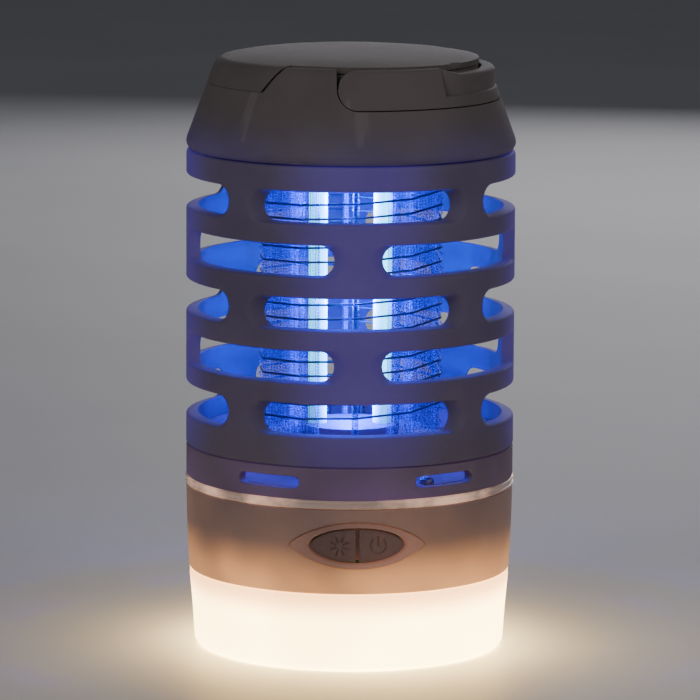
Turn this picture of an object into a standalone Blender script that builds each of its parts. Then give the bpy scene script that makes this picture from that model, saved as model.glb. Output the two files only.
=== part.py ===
"""Lantern-type electric bug zapper: 88 mm across, 161 mm tall.

Frame: +Z up, origin at the centre of the face it stands on, front (the buttons) towards -Y.
Lengths below are millimetres and angles are degrees; solid() turns millimetres into metres.
Azimuth is counted from the front (-Y), positive towards +X.
"""

from math import acos, asin, cos, degrees, pi, radians, sin

import bmesh
import bpy
from mathutils import Vector

MM = 0.001
GAP = 0.3                    # room left between two pieces that touch

# Driving dimensions, from the table upwards.
BODY_RADIUS = 43.95          # housing, collar and cage
RING_RADIUS = 44.15          # clear ring, the widest piece
TOTAL_HEIGHT = 161.0
DIFFUSER_TOP = 20.95
LOWER_BODY_TOP = 43.9
COLLAR_BOTTOM = 46.35
COLLAR_TOP = 54.75
CAGE_BOTTOM = COLLAR_TOP + GAP
CAGE_TOP = 133.9
CAGE_INNER_RADIUS = 40.8
SHOULDER_BOTTOM = 134.25

SHELL_SEGMENTS = 40
CAGE_SEGMENTS = 32
SMALL_SEGMENTS = 20

# Cage slots: each row is turned by 45 degrees from the row below it.
SLOT_ROWS = (66.8, 81.0, 95.3, 109.5, 123.6)
SLOTS_PER_ROW = 4
SLOT_HALF_ANGLE = 40.8       # on the outer face
SLOT_HEIGHT = 9.3
SLOT_INNER_HALF_ANGLE = 36.1
SLOT_INNER_HEIGHT = 8.3

# Collar slits.
SLIT_AZIMUTHS = (-147.5, -32.5, 32.5, 147.5)
SLIT_HALF_ANGLE = 12.0
SLIT_HEIGHT = 3.2
SLIT_Z = 50.7

# Deck, lamp and grid.
DECK_BOTTOM = 47.5
DECK_TOP = 48.9
DECK_RADIUS = 39.6
STAND_Z = DECK_TOP + 0.4     # what stands on the deck starts here
LAMP_LEG_X = 8.65
LAMP_TUBE_RADIUS = 2.5
LAMP_TOP = 128.3             # centre line of the tube's bridge
GUARD_OUTER_RADIUS = 15.3
GUARD_INNER_RADIUS = 13.4
FIN_COUNT = 10
FIN_FIRST_AZIMUTH = 1.0
FIN_INNER_RADIUS = 16.0
FIN_OUTER_RADIUS = 24.0
FIN_THICKNESS = 1.2
FRAME_TOP = 131.0
WIRE_PATH_RADIUS = 24.9
WIRE_RADIUS = 0.4
WIRE_LEAD = 7.6              # rise of one wire per turn
WIRE_END_Z = 128.84
TERMINAL_REACH = 26.6        # from the axis to the posts that feed the wires
TERMINAL_AZIMUTHS = (190.0, 170.0)
SCREW_HOLE_RADIUS = 1.5

# Handle and its pins.
PIVOT_Z = 153.7
HANDLE_INNER_RADIUS = 34.5
HANDLE_BOTTOM = 148.2
HANDLE_TOP = 158.9
LUG_RADIUS = 5.45
RECESS_RADIUS = 33.7         # wall that the folded handle lies round
RECESS_WALL_X = -5.85
PIN_RADIUS = 1.6
GRIP_START = 37.0            # azimuth where the full-height block ends
BAND_RADIUS = 38.2
FLANGE_TOP = 151.3

# Cap lobe on the left.
LOBE_BOTTOM = 152.05
LOBE_LOW_HALF_ANGLE = 50.0   # half width at its lower edge, about azimuth -90
LOBE_TOP_HALF_ANGLE = 59.0
LOBE_INNER_RADIUS = 35.3
PLATE_SEAT_Z = 157.0

# Buttons.
BUTTON_Z = 34.2
PANEL_HALF_ANGLE = 24.0
PANEL_HEIGHT = 12.6
BUTTON_OPENING_HALF_ANGLE = 17.35
BUTTON_OPENING_HEIGHT = 9.7
BUTTON_SPLIT_ANGLE = 0.65
BUTTON_AZIMUTH = 8.5

# Charging port at the rear.
PORT_HALF_WIDTH = 6.9
PORT_HINGE_Y = 42.35
PORT_HINGE_Z = 37.05
PORT_BOTTOM = 29.05

# Battery cells, lying side by side along X.
CELL_RADIUS = 9.1
CELL_LENGTH = 65.0
CELL_Y = 9.6
CELL_Z = 37.6


def clear_scene():
    for item in list(bpy.data.objects):
        bpy.data.objects.remove(item, do_unlink=True)


def solid(name, vertices, faces):
    """One closed mesh object from points in millimetres."""
    mesh = bpy.data.meshes.new(name)
    mesh.from_pydata([Vector(v) * MM for v in vertices], [], faces)
    work = bmesh.new()
    work.from_mesh(mesh)
    bmesh.ops.remove_doubles(work, verts=work.verts, dist=1e-7)
    bmesh.ops.recalc_face_normals(work, faces=work.faces)
    work.to_mesh(mesh)
    work.free()
    mesh.shade_smooth()
    mesh.set_sharp_from_angle(angle=radians(30))
    piece = bpy.data.objects.new(name, mesh)
    bpy.context.scene.collection.objects.link(piece)
    return piece


def paint(piece, colour, roughness, metallic=0.0, transmission=0.0):
    """Gives a piece its own Principled material."""
    finish = bpy.data.materials.new(piece.name + "_finish")
    finish.use_nodes = True
    shader = finish.node_tree.nodes["Principled BSDF"]
    shader.inputs["Base Color"].default_value = (*colour, 1.0)
    shader.inputs["Roughness"].default_value = roughness
    shader.inputs["Metallic"].default_value = metallic
    shader.inputs["Transmission Weight"].default_value = transmission
    piece.data.materials.append(finish)
    return piece


def polar(radius, azimuth, z):
    angle = radians(azimuth)
    return (radius * sin(angle), -radius * cos(angle), z)


def turned(name, profile, segments=SHELL_SEGMENTS, centre=(0.0, 0.0), axis="Z"):
    """A closed (radius, height) profile turned round a vertical axis, or round an X axis."""
    vertices, rings = [], []
    for radius, height in profile:
        count = 1 if radius == 0 else segments
        rings.append([len(vertices) + i % count for i in range(segments)])
        for i in range(count):
            x, y, z = polar(radius, 360 * i / segments, height)
            if axis == "Z":
                vertices.append((x + centre[0], y + centre[1], z))
            else:
                vertices.append((z, x + centre[0], y + centre[1]))
    faces = []
    for low, high in zip(rings, rings[1:] + rings[:1]):
        for i in range(segments):
            j = (i + 1) % segments
            corners = list(dict.fromkeys((low[i], low[j], high[j], high[i])))
            if len(corners) > 2:
                faces.append(corners)
    return solid(name, vertices, faces)


def cylinder(name, radius, bottom, top, centre=(0.0, 0.0), segments=SMALL_SEGMENTS, axis="Z"):
    profile = [(0, bottom), (radius, bottom), (radius, top), (0, top)]
    return turned(name, profile, segments, centre, axis)


def loft(name, stations):
    """Profiles joined round the Z axis. A station is (azimuth, profile), and all profiles match."""
    vertices = []
    for azimuth, profile in stations:
        vertices += [polar(radius, azimuth, z) for radius, z in profile]
    count, last = len(stations[0][1]), len(stations) - 1
    faces = [list(range(count)), list(range(last * count, (last + 1) * count))]
    for i in range(last):
        for j in range(count):
            k = (j + 1) % count
            faces.append((i * count + j, i * count + k, (i + 1) * count + k, (i + 1) * count + j))
    return solid(name, vertices, faces)


def spread(start, end, steps):
    return [start + (end - start) * i / steps for i in range(steps + 1)]


def prism(name, outline, axis, low, high):
    """An outline pushed along X, Y or Z. The outline holds the other two coordinates in order."""
    place = {
        "X": lambda u, v, w: (w, u, v),
        "Y": lambda u, v, w: (u, w, v),
        "Z": lambda u, v, w: (u, v, w),
    }[axis]
    count = len(outline)
    vertices = [place(u, v, w) for w in (low, high) for u, v in outline]
    faces = [list(range(count)), list(range(count, 2 * count))]
    faces += [(i, (i + 1) % count, count + (i + 1) % count, count + i) for i in range(count)]
    return solid(name, vertices, faces)


def block(name, low, high):
    outline = [(low[0], low[1]), (high[0], low[1]), (high[0], high[1]), (low[0], high[1])]
    return prism(name, outline, "Z", low[2], high[2])


def wrapped(name, outer_columns, outer_radius, inner_radius, inner_columns=None):
    """A plate that follows the round housing. A column is (azimuth, lowest z, highest z)."""
    inner_columns = inner_columns or outer_columns
    vertices = []
    for outer, inner in zip(outer_columns, inner_columns):
        vertices += [
            polar(outer_radius, outer[0], outer[1]),
            polar(outer_radius, outer[0], outer[2]),
            polar(inner_radius, inner[0], inner[2]),
            polar(inner_radius, inner[0], inner[1]),
        ]
    count = len(outer_columns)
    faces = [(0, 1, 2, 3), tuple(range(4 * count - 4, 4 * count))]
    for i in range(count - 1):
        for j in range(4):
            k = (j + 1) % 4
            faces.append((4 * i + j, 4 * i + k, 4 * i + 4 + k, 4 * i + 4 + j))
    return solid(name, vertices, faces)


def oval_columns(azimuth, z, half_angle, height, power, pinch, start=-1.0, end=1.0, steps=14):
    """Columns of a rounded outline: half height falls as (1 - |t|^power)^pinch from its middle."""
    turn_from, turn_to = acos(-start), acos(-end)
    columns = []
    for i in range(steps + 1):
        t = -cos(turn_from + (turn_to - turn_from) * i / steps)
        half = 0.5 * height * max(1e-4, 1 - abs(t) ** power) ** pinch
        columns.append((azimuth + half_angle * t, z - half, z + half))
    return columns


def stadium_columns(azimuth, z, half_angle, height, radius, end_steps=3, middle_steps=4):
    """Columns of a slot with straight edges and half-round ends."""
    end_angle = degrees(0.5 * height / radius)
    straight = half_angle - end_angle
    turns = [pi * i / (2 * end_steps) for i in range(end_steps)]
    left = [(-straight - end_angle * cos(a), max(0.02, sin(a))) for a in turns]
    middle = [(straight * (2 * i / middle_steps - 1), 1.0) for i in range(middle_steps + 1)]
    right = [(-offset, share) for offset, share in reversed(left)]
    half = 0.5 * height
    return [(azimuth + offset, z - half * s, z + half * s) for offset, s in left + middle + right]


def as_tool(piece):
    piece.display_type = "WIRE"
    piece.hide_render = True
    return piece


def combine(piece, operation, *tools):
    """Booleans the tools with a piece, one modifier each. The tools themselves aren't built."""
    for tool in tools:
        modifier = piece.modifiers.new(operation.lower() + "_" + tool.name, "BOOLEAN")
        modifier.operation = operation
        modifier.object = as_tool(tool)
    return piece


def joined(name, pieces):
    """Several separate solids as one cutter."""
    work = bmesh.new()
    for piece in pieces:
        work.from_mesh(piece.data)
        bpy.data.objects.remove(piece, do_unlink=True)
    mesh = bpy.data.meshes.new(name)
    work.to_mesh(mesh)
    work.free()
    group = bpy.data.objects.new(name, mesh)
    bpy.context.scene.collection.objects.link(group)
    return group


def hang_on(piece, point):
    """Parents a moving piece to an empty that sits on its joint's axis."""
    hinge = bpy.data.objects.new(piece.name + "_axis", None)
    hinge.location = Vector(point) * MM
    bpy.context.scene.collection.objects.link(hinge)
    bpy.context.view_layer.update()
    piece.parent = hinge
    piece.matrix_parent_inverse = hinge.matrix_world.inverted()


def screw_holes(name, places, low, high):
    """Cutters for the screws' clearance holes, one at each (x, y) place."""
    return [cylinder(f"{name}_{i}", SCREW_HOLE_RADIUS, low, high, xy, 8) for i, xy in enumerate(places)]


def screw(name, x, y, seat_z, direction, head_radius, shank_radius, length):
    """A pan-head screw whose head rests on seat_z and whose shank points along direction (+1 or -1)."""
    head = 1.5 * direction
    profile = [
        (0, seat_z + length * direction),
        (shank_radius, seat_z + (length - 0.8) * direction),
        (shank_radius, seat_z),
        (head_radius, seat_z),
        (head_radius, seat_z - 0.6 * head),
        (0.7 * head_radius, seat_z - head),
        (0, seat_z - head),
    ]
    return turned(name, profile, 10, (x, y))


HOUSING = (0.33, 0.30, 0.30)
CLEAR = (0.85, 0.90, 0.95)
STEEL = (0.55, 0.56, 0.58)
BRASS = (0.72, 0.55, 0.28)
BOARD_GREEN = (0.03, 0.18, 0.09)


def make_diffuser():
    profile = [
        (0, 0),
        (38.9, 0),
        (40.5, 0.5),
        (41.5, 2.0),
        (41.8, 5.0),
        (42.4, 12.0),
        (43.0, DIFFUSER_TOP),
        (41.0, DIFFUSER_TOP),
        (40.4, 12.0),
        (39.8, 5.0),
        (38.6, 2.4),
        (0, 2.2),
    ]
    paint(turned("diffuser", profile), (0.95, 0.90, 0.80), 0.45, transmission=0.4)


def make_lower_body():
    bottom = DIFFUSER_TOP + GAP
    profile = [
        (41.0, bottom),
        (43.1, bottom),
        (43.6, 28.5),
        (43.9, LOWER_BODY_TOP),
        (41.2, LOWER_BODY_TOP),
        (41.2, 26.8),
        (3.0, 26.8),
        (3.0, 25.2),
        (41.0, 25.2),
    ]
    body = turned("lower_body", profile)
    boss = block("port_boss", (-9.5, 38.2, 26.3), (9.5, 41.9, 40.5))
    panel = wrapped(
        "panel_hole",
        oval_columns(0, BUTTON_Z, PANEL_HALF_ANGLE, PANEL_HEIGHT, 2.0, 0.8),
        47.0,
        38.0,
    )
    side = PORT_HALF_WIDTH + 0.4
    pocket = block("port_pocket", (-side, 41.2, PORT_BOTTOM - 0.35), (side, 48.0, PORT_HINGE_Z + 1.25))
    socket_hole = block("socket_hole", (-4.9, 36.0, 29.75), (4.9, 43.0, 33.65))
    combine(body, "UNION", boss)
    combine(body, "DIFFERENCE", panel, pocket, socket_hole)
    paint(body, (0.42, 0.33, 0.28), 0.5, transmission=0.2)


def make_buttons():
    bezel = wrapped(
        "button_bezel",
        oval_columns(0, BUTTON_Z, PANEL_HALF_ANGLE - 0.6, PANEL_HEIGHT - 0.7, 2.0, 0.8),
        44.1,
        41.0,
    )
    opening = wrapped(
        "button_opening",
        oval_columns(0, BUTTON_Z, BUTTON_OPENING_HALF_ANGLE, BUTTON_OPENING_HEIGHT, 2.2, 0.6),
        47.0,
        38.0,
    )
    combine(bezel, "DIFFERENCE", opening)
    paint(bezel, HOUSING, 0.45)
    half_angle = BUTTON_OPENING_HALF_ANGLE - 0.55
    split = BUTTON_SPLIT_ANGLE / half_angle
    height = BUTTON_OPENING_HEIGHT - 0.8
    for name, side, start, end in (
        ("light_button", -1, -1.0, -split),
        ("power_button", 1, split, 1.0),
    ):
        columns = oval_columns(0, BUTTON_Z, half_angle, height, 2.2, 0.6, start, end, 10)
        button = wrapped(name, columns, 43.1, 40.95)
        paint(button, (0.30, 0.27, 0.27), 0.5)
        hang_on(button, polar(43.1, side * BUTTON_AZIMUTH, BUTTON_Z))


def make_switchgear():
    """The membrane, the two switches and the board behind the buttons."""
    membrane = wrapped(
        "button_membrane",
        oval_columns(0, BUTTON_Z, 16.0, 8.6, 2.2, 0.5, steps=10),
        39.9,
        39.0,
    )
    paint(membrane, (0.75, 0.75, 0.72), 0.8)
    for name, x in (("switch_light", -5.6), ("switch_power", 5.6)):
        switch = block(name, (x - 3, -37.5, BUTTON_Z - 3), (x + 3, -35.0, BUTTON_Z + 3))
        paint(switch, (0.05, 0.05, 0.05), 0.5)
    board = block("control_board", (-18, -34.7, 28.0), (18, -33.1, 40.5))
    paint(board, BOARD_GREEN, 0.4)


def make_port():
    socket = block("usb_socket", (-4.5, 34.0, 30.1), (4.5, 40.8, 33.3))
    combine(socket, "DIFFERENCE", block("socket_mouth", (-4.0, 36.0, 30.6), (4.0, 42.0, 32.8)))
    paint(socket, STEEL, 0.3, 1.0)
    half = 0.85
    turn = [pi * i / 8 for i in range(9)]
    outline = [(PORT_HINGE_Y + half * cos(a), PORT_HINGE_Z + half * sin(a)) for a in turn]
    outline += [(PORT_HINGE_Y - half, PORT_BOTTOM), (PORT_HINGE_Y + half, PORT_BOTTOM)]
    cover = prism("port_cover", outline, "X", -PORT_HALF_WIDTH, PORT_HALF_WIDTH)
    paint(cover, (0.28, 0.25, 0.25), 0.7)
    hang_on(cover, (0, PORT_HINGE_Y, PORT_HINGE_Z))


def make_battery():
    half = CELL_LENGTH / 2
    profile = [
        (0, -half),
        (CELL_RADIUS - 0.5, -half),
        (CELL_RADIUS, -half + 0.5),
        (CELL_RADIUS, half - 0.5),
        (CELL_RADIUS - 0.5, half),
        (2.8, half),
        (2.8, half + 0.6),
        (0, half + 0.6),
    ]
    saddles = []
    for number, y in ((1, -CELL_Y), (2, CELL_Y)):
        cell = turned(f"battery_cell_{number}", profile, 24, (y, CELL_Z), "X")
        paint(cell, (0.10, 0.25, 0.55), 0.35)
        saddles.append(
            cylinder(f"saddle_{number}", CELL_RADIUS + 0.35, -40, 40, (y, CELL_Z), 24, "X")
        )
    tray = block("battery_tray", (-33.1, -18.9, 27.1), (33.1, 18.9, 32.0))
    combine(tray, "DIFFERENCE", *saddles)
    paint(tray, (0.10, 0.10, 0.10), 0.6)
    for name, low, high in (
        ("battery_contact_left", -34.1, -33.5),
        ("battery_contact_right", 33.5, 34.1),
    ):
        paint(block(name, (low, -16, 29.5), (high, 16, 43)), STEEL, 0.3, 1.0)


def make_high_voltage():
    module = block("hv_module", (-14, 21.5, 27.2), (14, 32.5, 40.0))
    paint(module, (0.03, 0.03, 0.03), 0.4)
    for name, azimuth in zip(("terminal_live", "terminal_return"), TERMINAL_AZIMUTHS):
        x, y, _ = polar(TERMINAL_REACH, azimuth, 0)
        paint(cylinder(name, 0.9, 40.5, 61.5, (x, y), 12), BRASS, 0.3, 1.0)


def make_lantern_light():
    board = cylinder("led_board", 18.0, 23.1, 24.6, segments=32)
    places = [(0.0, 0.0)] + [polar(9.0, 60 * i, 0)[:2] for i in range(6)]
    chips = joined(
        "led_chips",
        [
            block(f"chip_{i}", (x - 1.6, y - 1.6, 22.3), (x + 1.6, y + 1.6, 23.4))
            for i, (x, y) in enumerate(places)
        ],
    )
    combine(board, "UNION", chips)
    paint(board, (0.90, 0.90, 0.88), 0.4)
    profile = [(14.0, 21.6), (40.4, 17.6), (40.4, 18.5), (14.0, 22.6)]
    paint(turned("reflector", profile), (0.92, 0.92, 0.90), 0.3)


def make_light_ring():
    low, high = LOWER_BODY_TOP + 0.35, COLLAR_BOTTOM - GAP
    profile = [
        (41.6, low),
        (43.9, low),
        (RING_RADIUS, low + 0.55),
        (RING_RADIUS, high - 0.55),
        (43.9, high),
        (41.6, high),
    ]
    paint(turned("light_ring", profile), (0.95, 0.85, 0.82), 0.1, transmission=0.9)


def deck_screw_places():
    return [polar(37.4, azimuth, 0)[:2] for azimuth in (30, 150, 270)]


def make_collar():
    """The ring under the cage, with a spigot into the body and another into the cage."""
    profile = [
        (BODY_RADIUS, COLLAR_BOTTOM),
        (BODY_RADIUS, COLLAR_TOP),
        (40.45, COLLAR_TOP),
        (40.45, 58.5),
        (38.9, 58.5),
        (38.9, 53.4),
        (41.3, 53.0),
        (41.3, 47.2),
        (35.5, 47.2),
        (35.5, 45.6),
        (39.2, 45.6),
        (39.2, 41.2),
        (40.8, 41.2),
        (40.8, COLLAR_BOTTOM),
    ]
    collar = turned("collar", profile)
    slits = [
        wrapped(
            f"slit_{azimuth:g}",
            stadium_columns(azimuth, SLIT_Z, SLIT_HALF_ANGLE, SLIT_HEIGHT, BODY_RADIUS, 4, 3),
            47.0,
            39.0,
        )
        for azimuth in SLIT_AZIMUTHS
    ]
    holes = screw_holes("ledge_hole", deck_screw_places(), 44, 49)
    combine(collar, "DIFFERENCE", joined("collar_slits", slits), joined("ledge_holes", holes))
    paint(collar, HOUSING, 0.5)


def make_deck():
    deck = cylinder("chamber_floor", DECK_RADIUS, DECK_BOTTOM, DECK_TOP, segments=SHELL_SEGMENTS)
    places = deck_screw_places()
    places += [polar(TERMINAL_REACH, azimuth, 0)[:2] for azimuth in reversed(TERMINAL_AZIMUTHS)]
    combine(deck, "DIFFERENCE", joined("deck_holes", screw_holes("deck_hole", places, 46, 50)))
    paint(deck, HOUSING, 0.5)
    for number, (x, y) in enumerate(deck_screw_places(), 1):
        paint(screw(f"deck_screw_{number}", x, y, DECK_TOP + GAP, -1, 2.0, 1.1, 5.5), STEEL, 0.3, 1.0)
    seal_radius, seal_thickness, seal_z = 40.45, 0.45, 48.2
    turn = [pi * i / 2 for i in range(4)]
    section = [(seal_radius + seal_thickness * cos(a), seal_z + seal_thickness * sin(a)) for a in turn]
    paint(turned("seal_ring", section), (0.02, 0.02, 0.02), 0.8)


def make_lamp():
    base = cylinder("lamp_base", GUARD_INNER_RADIUS - 0.4, STAND_Z, 60.0, segments=32)
    sockets = [
        cylinder(f"leg_socket_{side}", LAMP_TUBE_RADIUS + 0.35, 55.5, 62, (side * LAMP_LEG_X, 0), 16)
        for side in (-1, 1)
    ]
    combine(base, "DIFFERENCE", joined("leg_sockets", sockets))
    paint(base, (0.85, 0.85, 0.82), 0.5)
    bend = 4.0
    quarter = [pi * i / 12 for i in range(7)]
    left = [(-LAMP_LEG_X, 56.0)]
    left += [(-LAMP_LEG_X + bend - bend * cos(a), LAMP_TOP - bend + bend * sin(a)) for a in quarter]
    line = left + [(-x, z) for x, z in reversed(left)]
    tube = tube_along("lamp_tube", [(x, 0, z) for x, z in line], LAMP_TUBE_RADIUS, 3)
    paint(tube, (0.55, 0.75, 1.0), 0.2)
    guard_profile = [
        (GUARD_INNER_RADIUS, STAND_Z),
        (GUARD_OUTER_RADIUS, STAND_Z),
        (GUARD_OUTER_RADIUS, FRAME_TOP),
        (GUARD_INNER_RADIUS, FRAME_TOP),
    ]
    paint(turned("lamp_guard", guard_profile, 32), CLEAR, 0.05, transmission=1.0)


def tube_along(name, points, radius, resolution):
    """A round tube along points in millimetres."""
    curve = bpy.data.curves.new(name, "CURVE")
    curve.dimensions = "3D"
    curve.bevel_depth = radius * MM
    curve.bevel_resolution = resolution
    curve.use_fill_caps = True
    line = curve.splines.new("POLY")
    line.points.add(len(points) - 1)
    for point, place in zip(line.points, points):
        point.co = (*(Vector(place) * MM), 1.0)
    tube = bpy.data.objects.new(name, curve)
    bpy.context.scene.collection.objects.link(tube)
    return tube


def make_grid():
    """Clear comb frame with ten fins, and two interleaved wires bent over the fins."""
    ring = [
        (FIN_INNER_RADIUS - 0.2, STAND_Z),
        (FIN_OUTER_RADIUS, STAND_Z),
        (FIN_OUTER_RADIUS, 57.5),
        (FIN_INNER_RADIUS - 0.2, 57.5),
    ]
    frame = turned("grid_frame", ring, 30)
    top = [(r, FRAME_TOP - 1.5 if z < 57 else FRAME_TOP) for r, z in ring]
    fins = []
    for i in range(FIN_COUNT):
        azimuth = FIN_FIRST_AZIMUTH + 360 * i / FIN_COUNT
        half = FIN_THICKNESS / 2
        along = Vector(polar(1, azimuth, 0)).xy
        across = Vector((-along.y, along.x))
        corners = [
            along * FIN_INNER_RADIUS + across * half,
            along * FIN_INNER_RADIUS - across * half,
            along * (FIN_OUTER_RADIUS - 0.1) - across * half,
            along * (FIN_OUTER_RADIUS - 0.1) + across * half,
        ]
        fins.append(prism(f"fin_{i}", [tuple(c) for c in corners], "Z", 57.0, FRAME_TOP - 1.0))
    combine(frame, "UNION", joined("fins", fins), turned("frame_top", top, 30))
    paint(frame, CLEAR, 0.3, transmission=0.8)
    for name, start_z in (("wire_live", 61.2), ("wire_return", 61.2 + WIRE_LEAD / 2)):
        steps = round((WIRE_END_Z - start_z) / WIRE_LEAD * FIN_COUNT)
        points = []
        for i in range(steps + 1):
            azimuth = FIN_FIRST_AZIMUTH + 180 + 360 * i / FIN_COUNT
            points.append(polar(WIRE_PATH_RADIUS, azimuth, start_z + WIRE_LEAD * i / FIN_COUNT))
        paint(tube_along(name, points, WIRE_RADIUS, 0), STEEL, 0.35, 1.0)
    cap_low = FRAME_TOP + 0.35
    cap_high = cap_low + 2.4
    insulator = [(0, cap_low), (23.5, cap_low), (23.5, cap_high - 0.6), (22.5, cap_high), (0, cap_high)]
    paint(turned("upper_insulator", insulator, 32), (0.85, 0.85, 0.82), 0.5)


def slot_cutter(azimuth, z):
    """A slot that narrows from the outer face to the inner one, run past both faces."""
    past = 2.0
    slope = past / (BODY_RADIUS - CAGE_INNER_RADIUS)
    angle_step = (SLOT_HALF_ANGLE - SLOT_INNER_HALF_ANGLE) * slope
    height_step = (SLOT_HEIGHT - SLOT_INNER_HEIGHT) * slope
    outer, inner = BODY_RADIUS + past, CAGE_INNER_RADIUS - past
    return wrapped(
        f"slot_{azimuth:g}_{z:g}",
        stadium_columns(azimuth, z, SLOT_HALF_ANGLE + angle_step, SLOT_HEIGHT + height_step, outer),
        outer,
        inner,
        stadium_columns(
            azimuth, z, SLOT_INNER_HALF_ANGLE - angle_step, SLOT_INNER_HEIGHT - height_step, inner
        ),
    )


def cage_screw_places():
    return [polar(38.4, azimuth, 0)[:2] for azimuth in (45, 165, 285)]


def make_cage():
    flange_bottom = CAGE_TOP - 2.0
    profile = [
        (CAGE_INNER_RADIUS, CAGE_BOTTOM),
        (43.6, CAGE_BOTTOM),
        (BODY_RADIUS, CAGE_BOTTOM + 0.4),
        (BODY_RADIUS, CAGE_TOP - 0.8),
        (43.3, CAGE_TOP),
        (36.0, CAGE_TOP),
        (36.0, flange_bottom),
        (CAGE_INNER_RADIUS, flange_bottom),
    ]
    cage = turned("cage", profile, CAGE_SEGMENTS)
    cutters = []
    for row, z in enumerate(SLOT_ROWS):
        turn = 45 * (row % 2)
        cutters += [slot_cutter(360 * i / SLOTS_PER_ROW + turn, z) for i in range(SLOTS_PER_ROW)]
    holes = screw_holes("flange_hole", cage_screw_places(), 130, 136)
    combine(cage, "DIFFERENCE", joined("cage_slots", cutters), joined("flange_holes", holes))
    paint(cage, HOUSING, 0.5)
    for number, (x, y) in enumerate(cage_screw_places(), 1):
        paint(screw(f"cage_screw_{number}", x, y, flange_bottom - GAP, 1, 2.0, 1.1, 6.5), STEEL, 0.3, 1.0)


def lobe_columns(grow, low, high):
    """Azimuth and height limits of the cap's skirt lobe, grown on all sides."""
    span = TOTAL_HEIGHT - 1.5 - LOBE_BOTTOM
    lean = (LOBE_TOP_HALF_ANGLE - LOBE_LOW_HALF_ANGLE) / span
    half_low = LOBE_LOW_HALF_ANGLE + lean * (low - LOBE_BOTTOM) + grow
    half_high = LOBE_LOW_HALF_ANGLE + lean * (high - LOBE_BOTTOM) + grow
    return half_low, half_high


def lobe_tool(name, grow, low, high, inner_radius):
    """A curved wedge about azimuth -90 whose ends lean outwards as they rise."""
    half_low, half_high = lobe_columns(grow, low, high)
    steps = 16
    vertices = []
    for i in range(steps + 1):
        t = 2 * i / steps - 1
        for radius, z, half in (
            (50, low, half_low),
            (50, high, half_high),
            (inner_radius, high, half_high),
            (inner_radius, low, half_low),
        ):
            vertices.append(polar(radius, -90 + half * t, z))
    faces = [(0, 1, 2, 3), tuple(range(4 * steps, 4 * steps + 4))]
    for i in range(steps):
        for j in range(4):
            k = (j + 1) % 4
            faces.append((4 * i + j, 4 * i + k, 4 * i + 4 + k, 4 * i + 4 + j))
    return solid(name, vertices, faces)


SHOULDER_OUTLINE = (
    (43.4, SHOULDER_BOTTOM),
    (43.85, 135.2),
    (43.9, 136.6),
    (43.3, 138.5),
    (38.0, 153.0),
    (37.6, 154.7),
    (36.9, 156.4),
    (35.8, 158.1),
    (34.9, 159.1),
)


def make_shoulder():
    profile = [(0, 134.6), (40.4, 134.6), (40.6, SHOULDER_BOTTOM)]
    profile += SHOULDER_OUTLINE
    profile += [
        (34.2, 159.1),
        (34.2, PLATE_SEAT_Z),
        (31.2, PLATE_SEAT_Z),
        (31.2, 145.6),
        (38.2, 145.6),
        (40.9, 138.5),
        (40.9, 136.4),
        (0, 136.4),
    ]
    shoulder = turned("shoulder", profile)
    floor = HANDLE_BOTTOM - GAP
    arc = [0] * 2
    for index, radius in enumerate((50.0, RECESS_RADIUS)):
        start = degrees(asin(RECESS_WALL_X / radius))
        arc[index] = [polar(radius, start + (180 - 2 * start) * i / 36, 0)[:2] for i in range(37)]
    recess = prism("handle_recess", arc[0] + arc[1][::-1], "Z", floor, 165.0)
    skirt_seat = lobe_tool("skirt_seat", 0.6, LOBE_BOTTOM - GAP, 165.0, LOBE_INNER_RADIUS - GAP)
    rim_cut = lobe_tool("rim_cut", 0.6, PLATE_SEAT_Z, 165.5, 33.4)
    bosses = joined("boss_holes", screw_holes("boss_hole", cage_screw_places(), 133, 145))
    pin_holes = pin_hole_pair("pin_holes", 28, 36)
    combine(shoulder, "DIFFERENCE", recess, skirt_seat, rim_cut, pin_holes, bosses)
    paint(shoulder, HOUSING, 0.5)


def pin_hole_pair(name, near, far):
    """Cutters for the handle's pins, from near to far on both sides of the cap."""
    outline = circle(0, PIVOT_Z, PIN_RADIUS + 0.35, 16)
    return joined(name, [prism(name, outline, "Y", *sorted((near * side, far * side))) for side in (-1, 1)])


def circle(u, v, radius, count):
    angles = (2 * pi * i / count for i in range(count))
    return [(u + radius * cos(a), v + radius * sin(a)) for a in angles]


def make_top_plate():
    """Domed disc that plugs into the shoulder, with a skirt lobe down the left side."""
    underside = PLATE_SEAT_Z + GAP
    dome = [(33.4 * i / 4, TOTAL_HEIGHT - 1.7 * (i / 4) ** 2) for i in range(5)]
    profile = dome + [
        (RECESS_RADIUS - 0.05, 158.9),
        (RECESS_RADIUS - 0.05, underside),
        (30.8, underside),
        (30.8, 155.9),
        (28.8, 155.9),
        (28.8, 158.2),
        (0, 158.9),
    ]
    plate = turned("top_plate", profile)
    lobe_section = [
        (33.0, 159.25),
        (34.9, 159.1),
        (35.8, 158.1),
        (36.9, 156.4),
        (37.6, 154.7),
        (38.0, 153.0),
        (38.35, LOBE_BOTTOM),
        (LOBE_INNER_RADIUS, LOBE_BOTTOM),
        (LOBE_INNER_RADIUS, underside),
        (33.0, underside),
    ]
    lobe = loft("skirt_lobe", [(azimuth, lobe_section) for azimuth in spread(-155, -25, 14)])
    lobe_limits = lobe_tool("lobe_limits", 0, LOBE_BOTTOM - 1, 166.0, 32.0)
    combine(lobe, "INTERSECT", lobe_limits)
    combine(plate, "UNION", lobe)
    paint(plate, HOUSING, 0.5)


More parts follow.
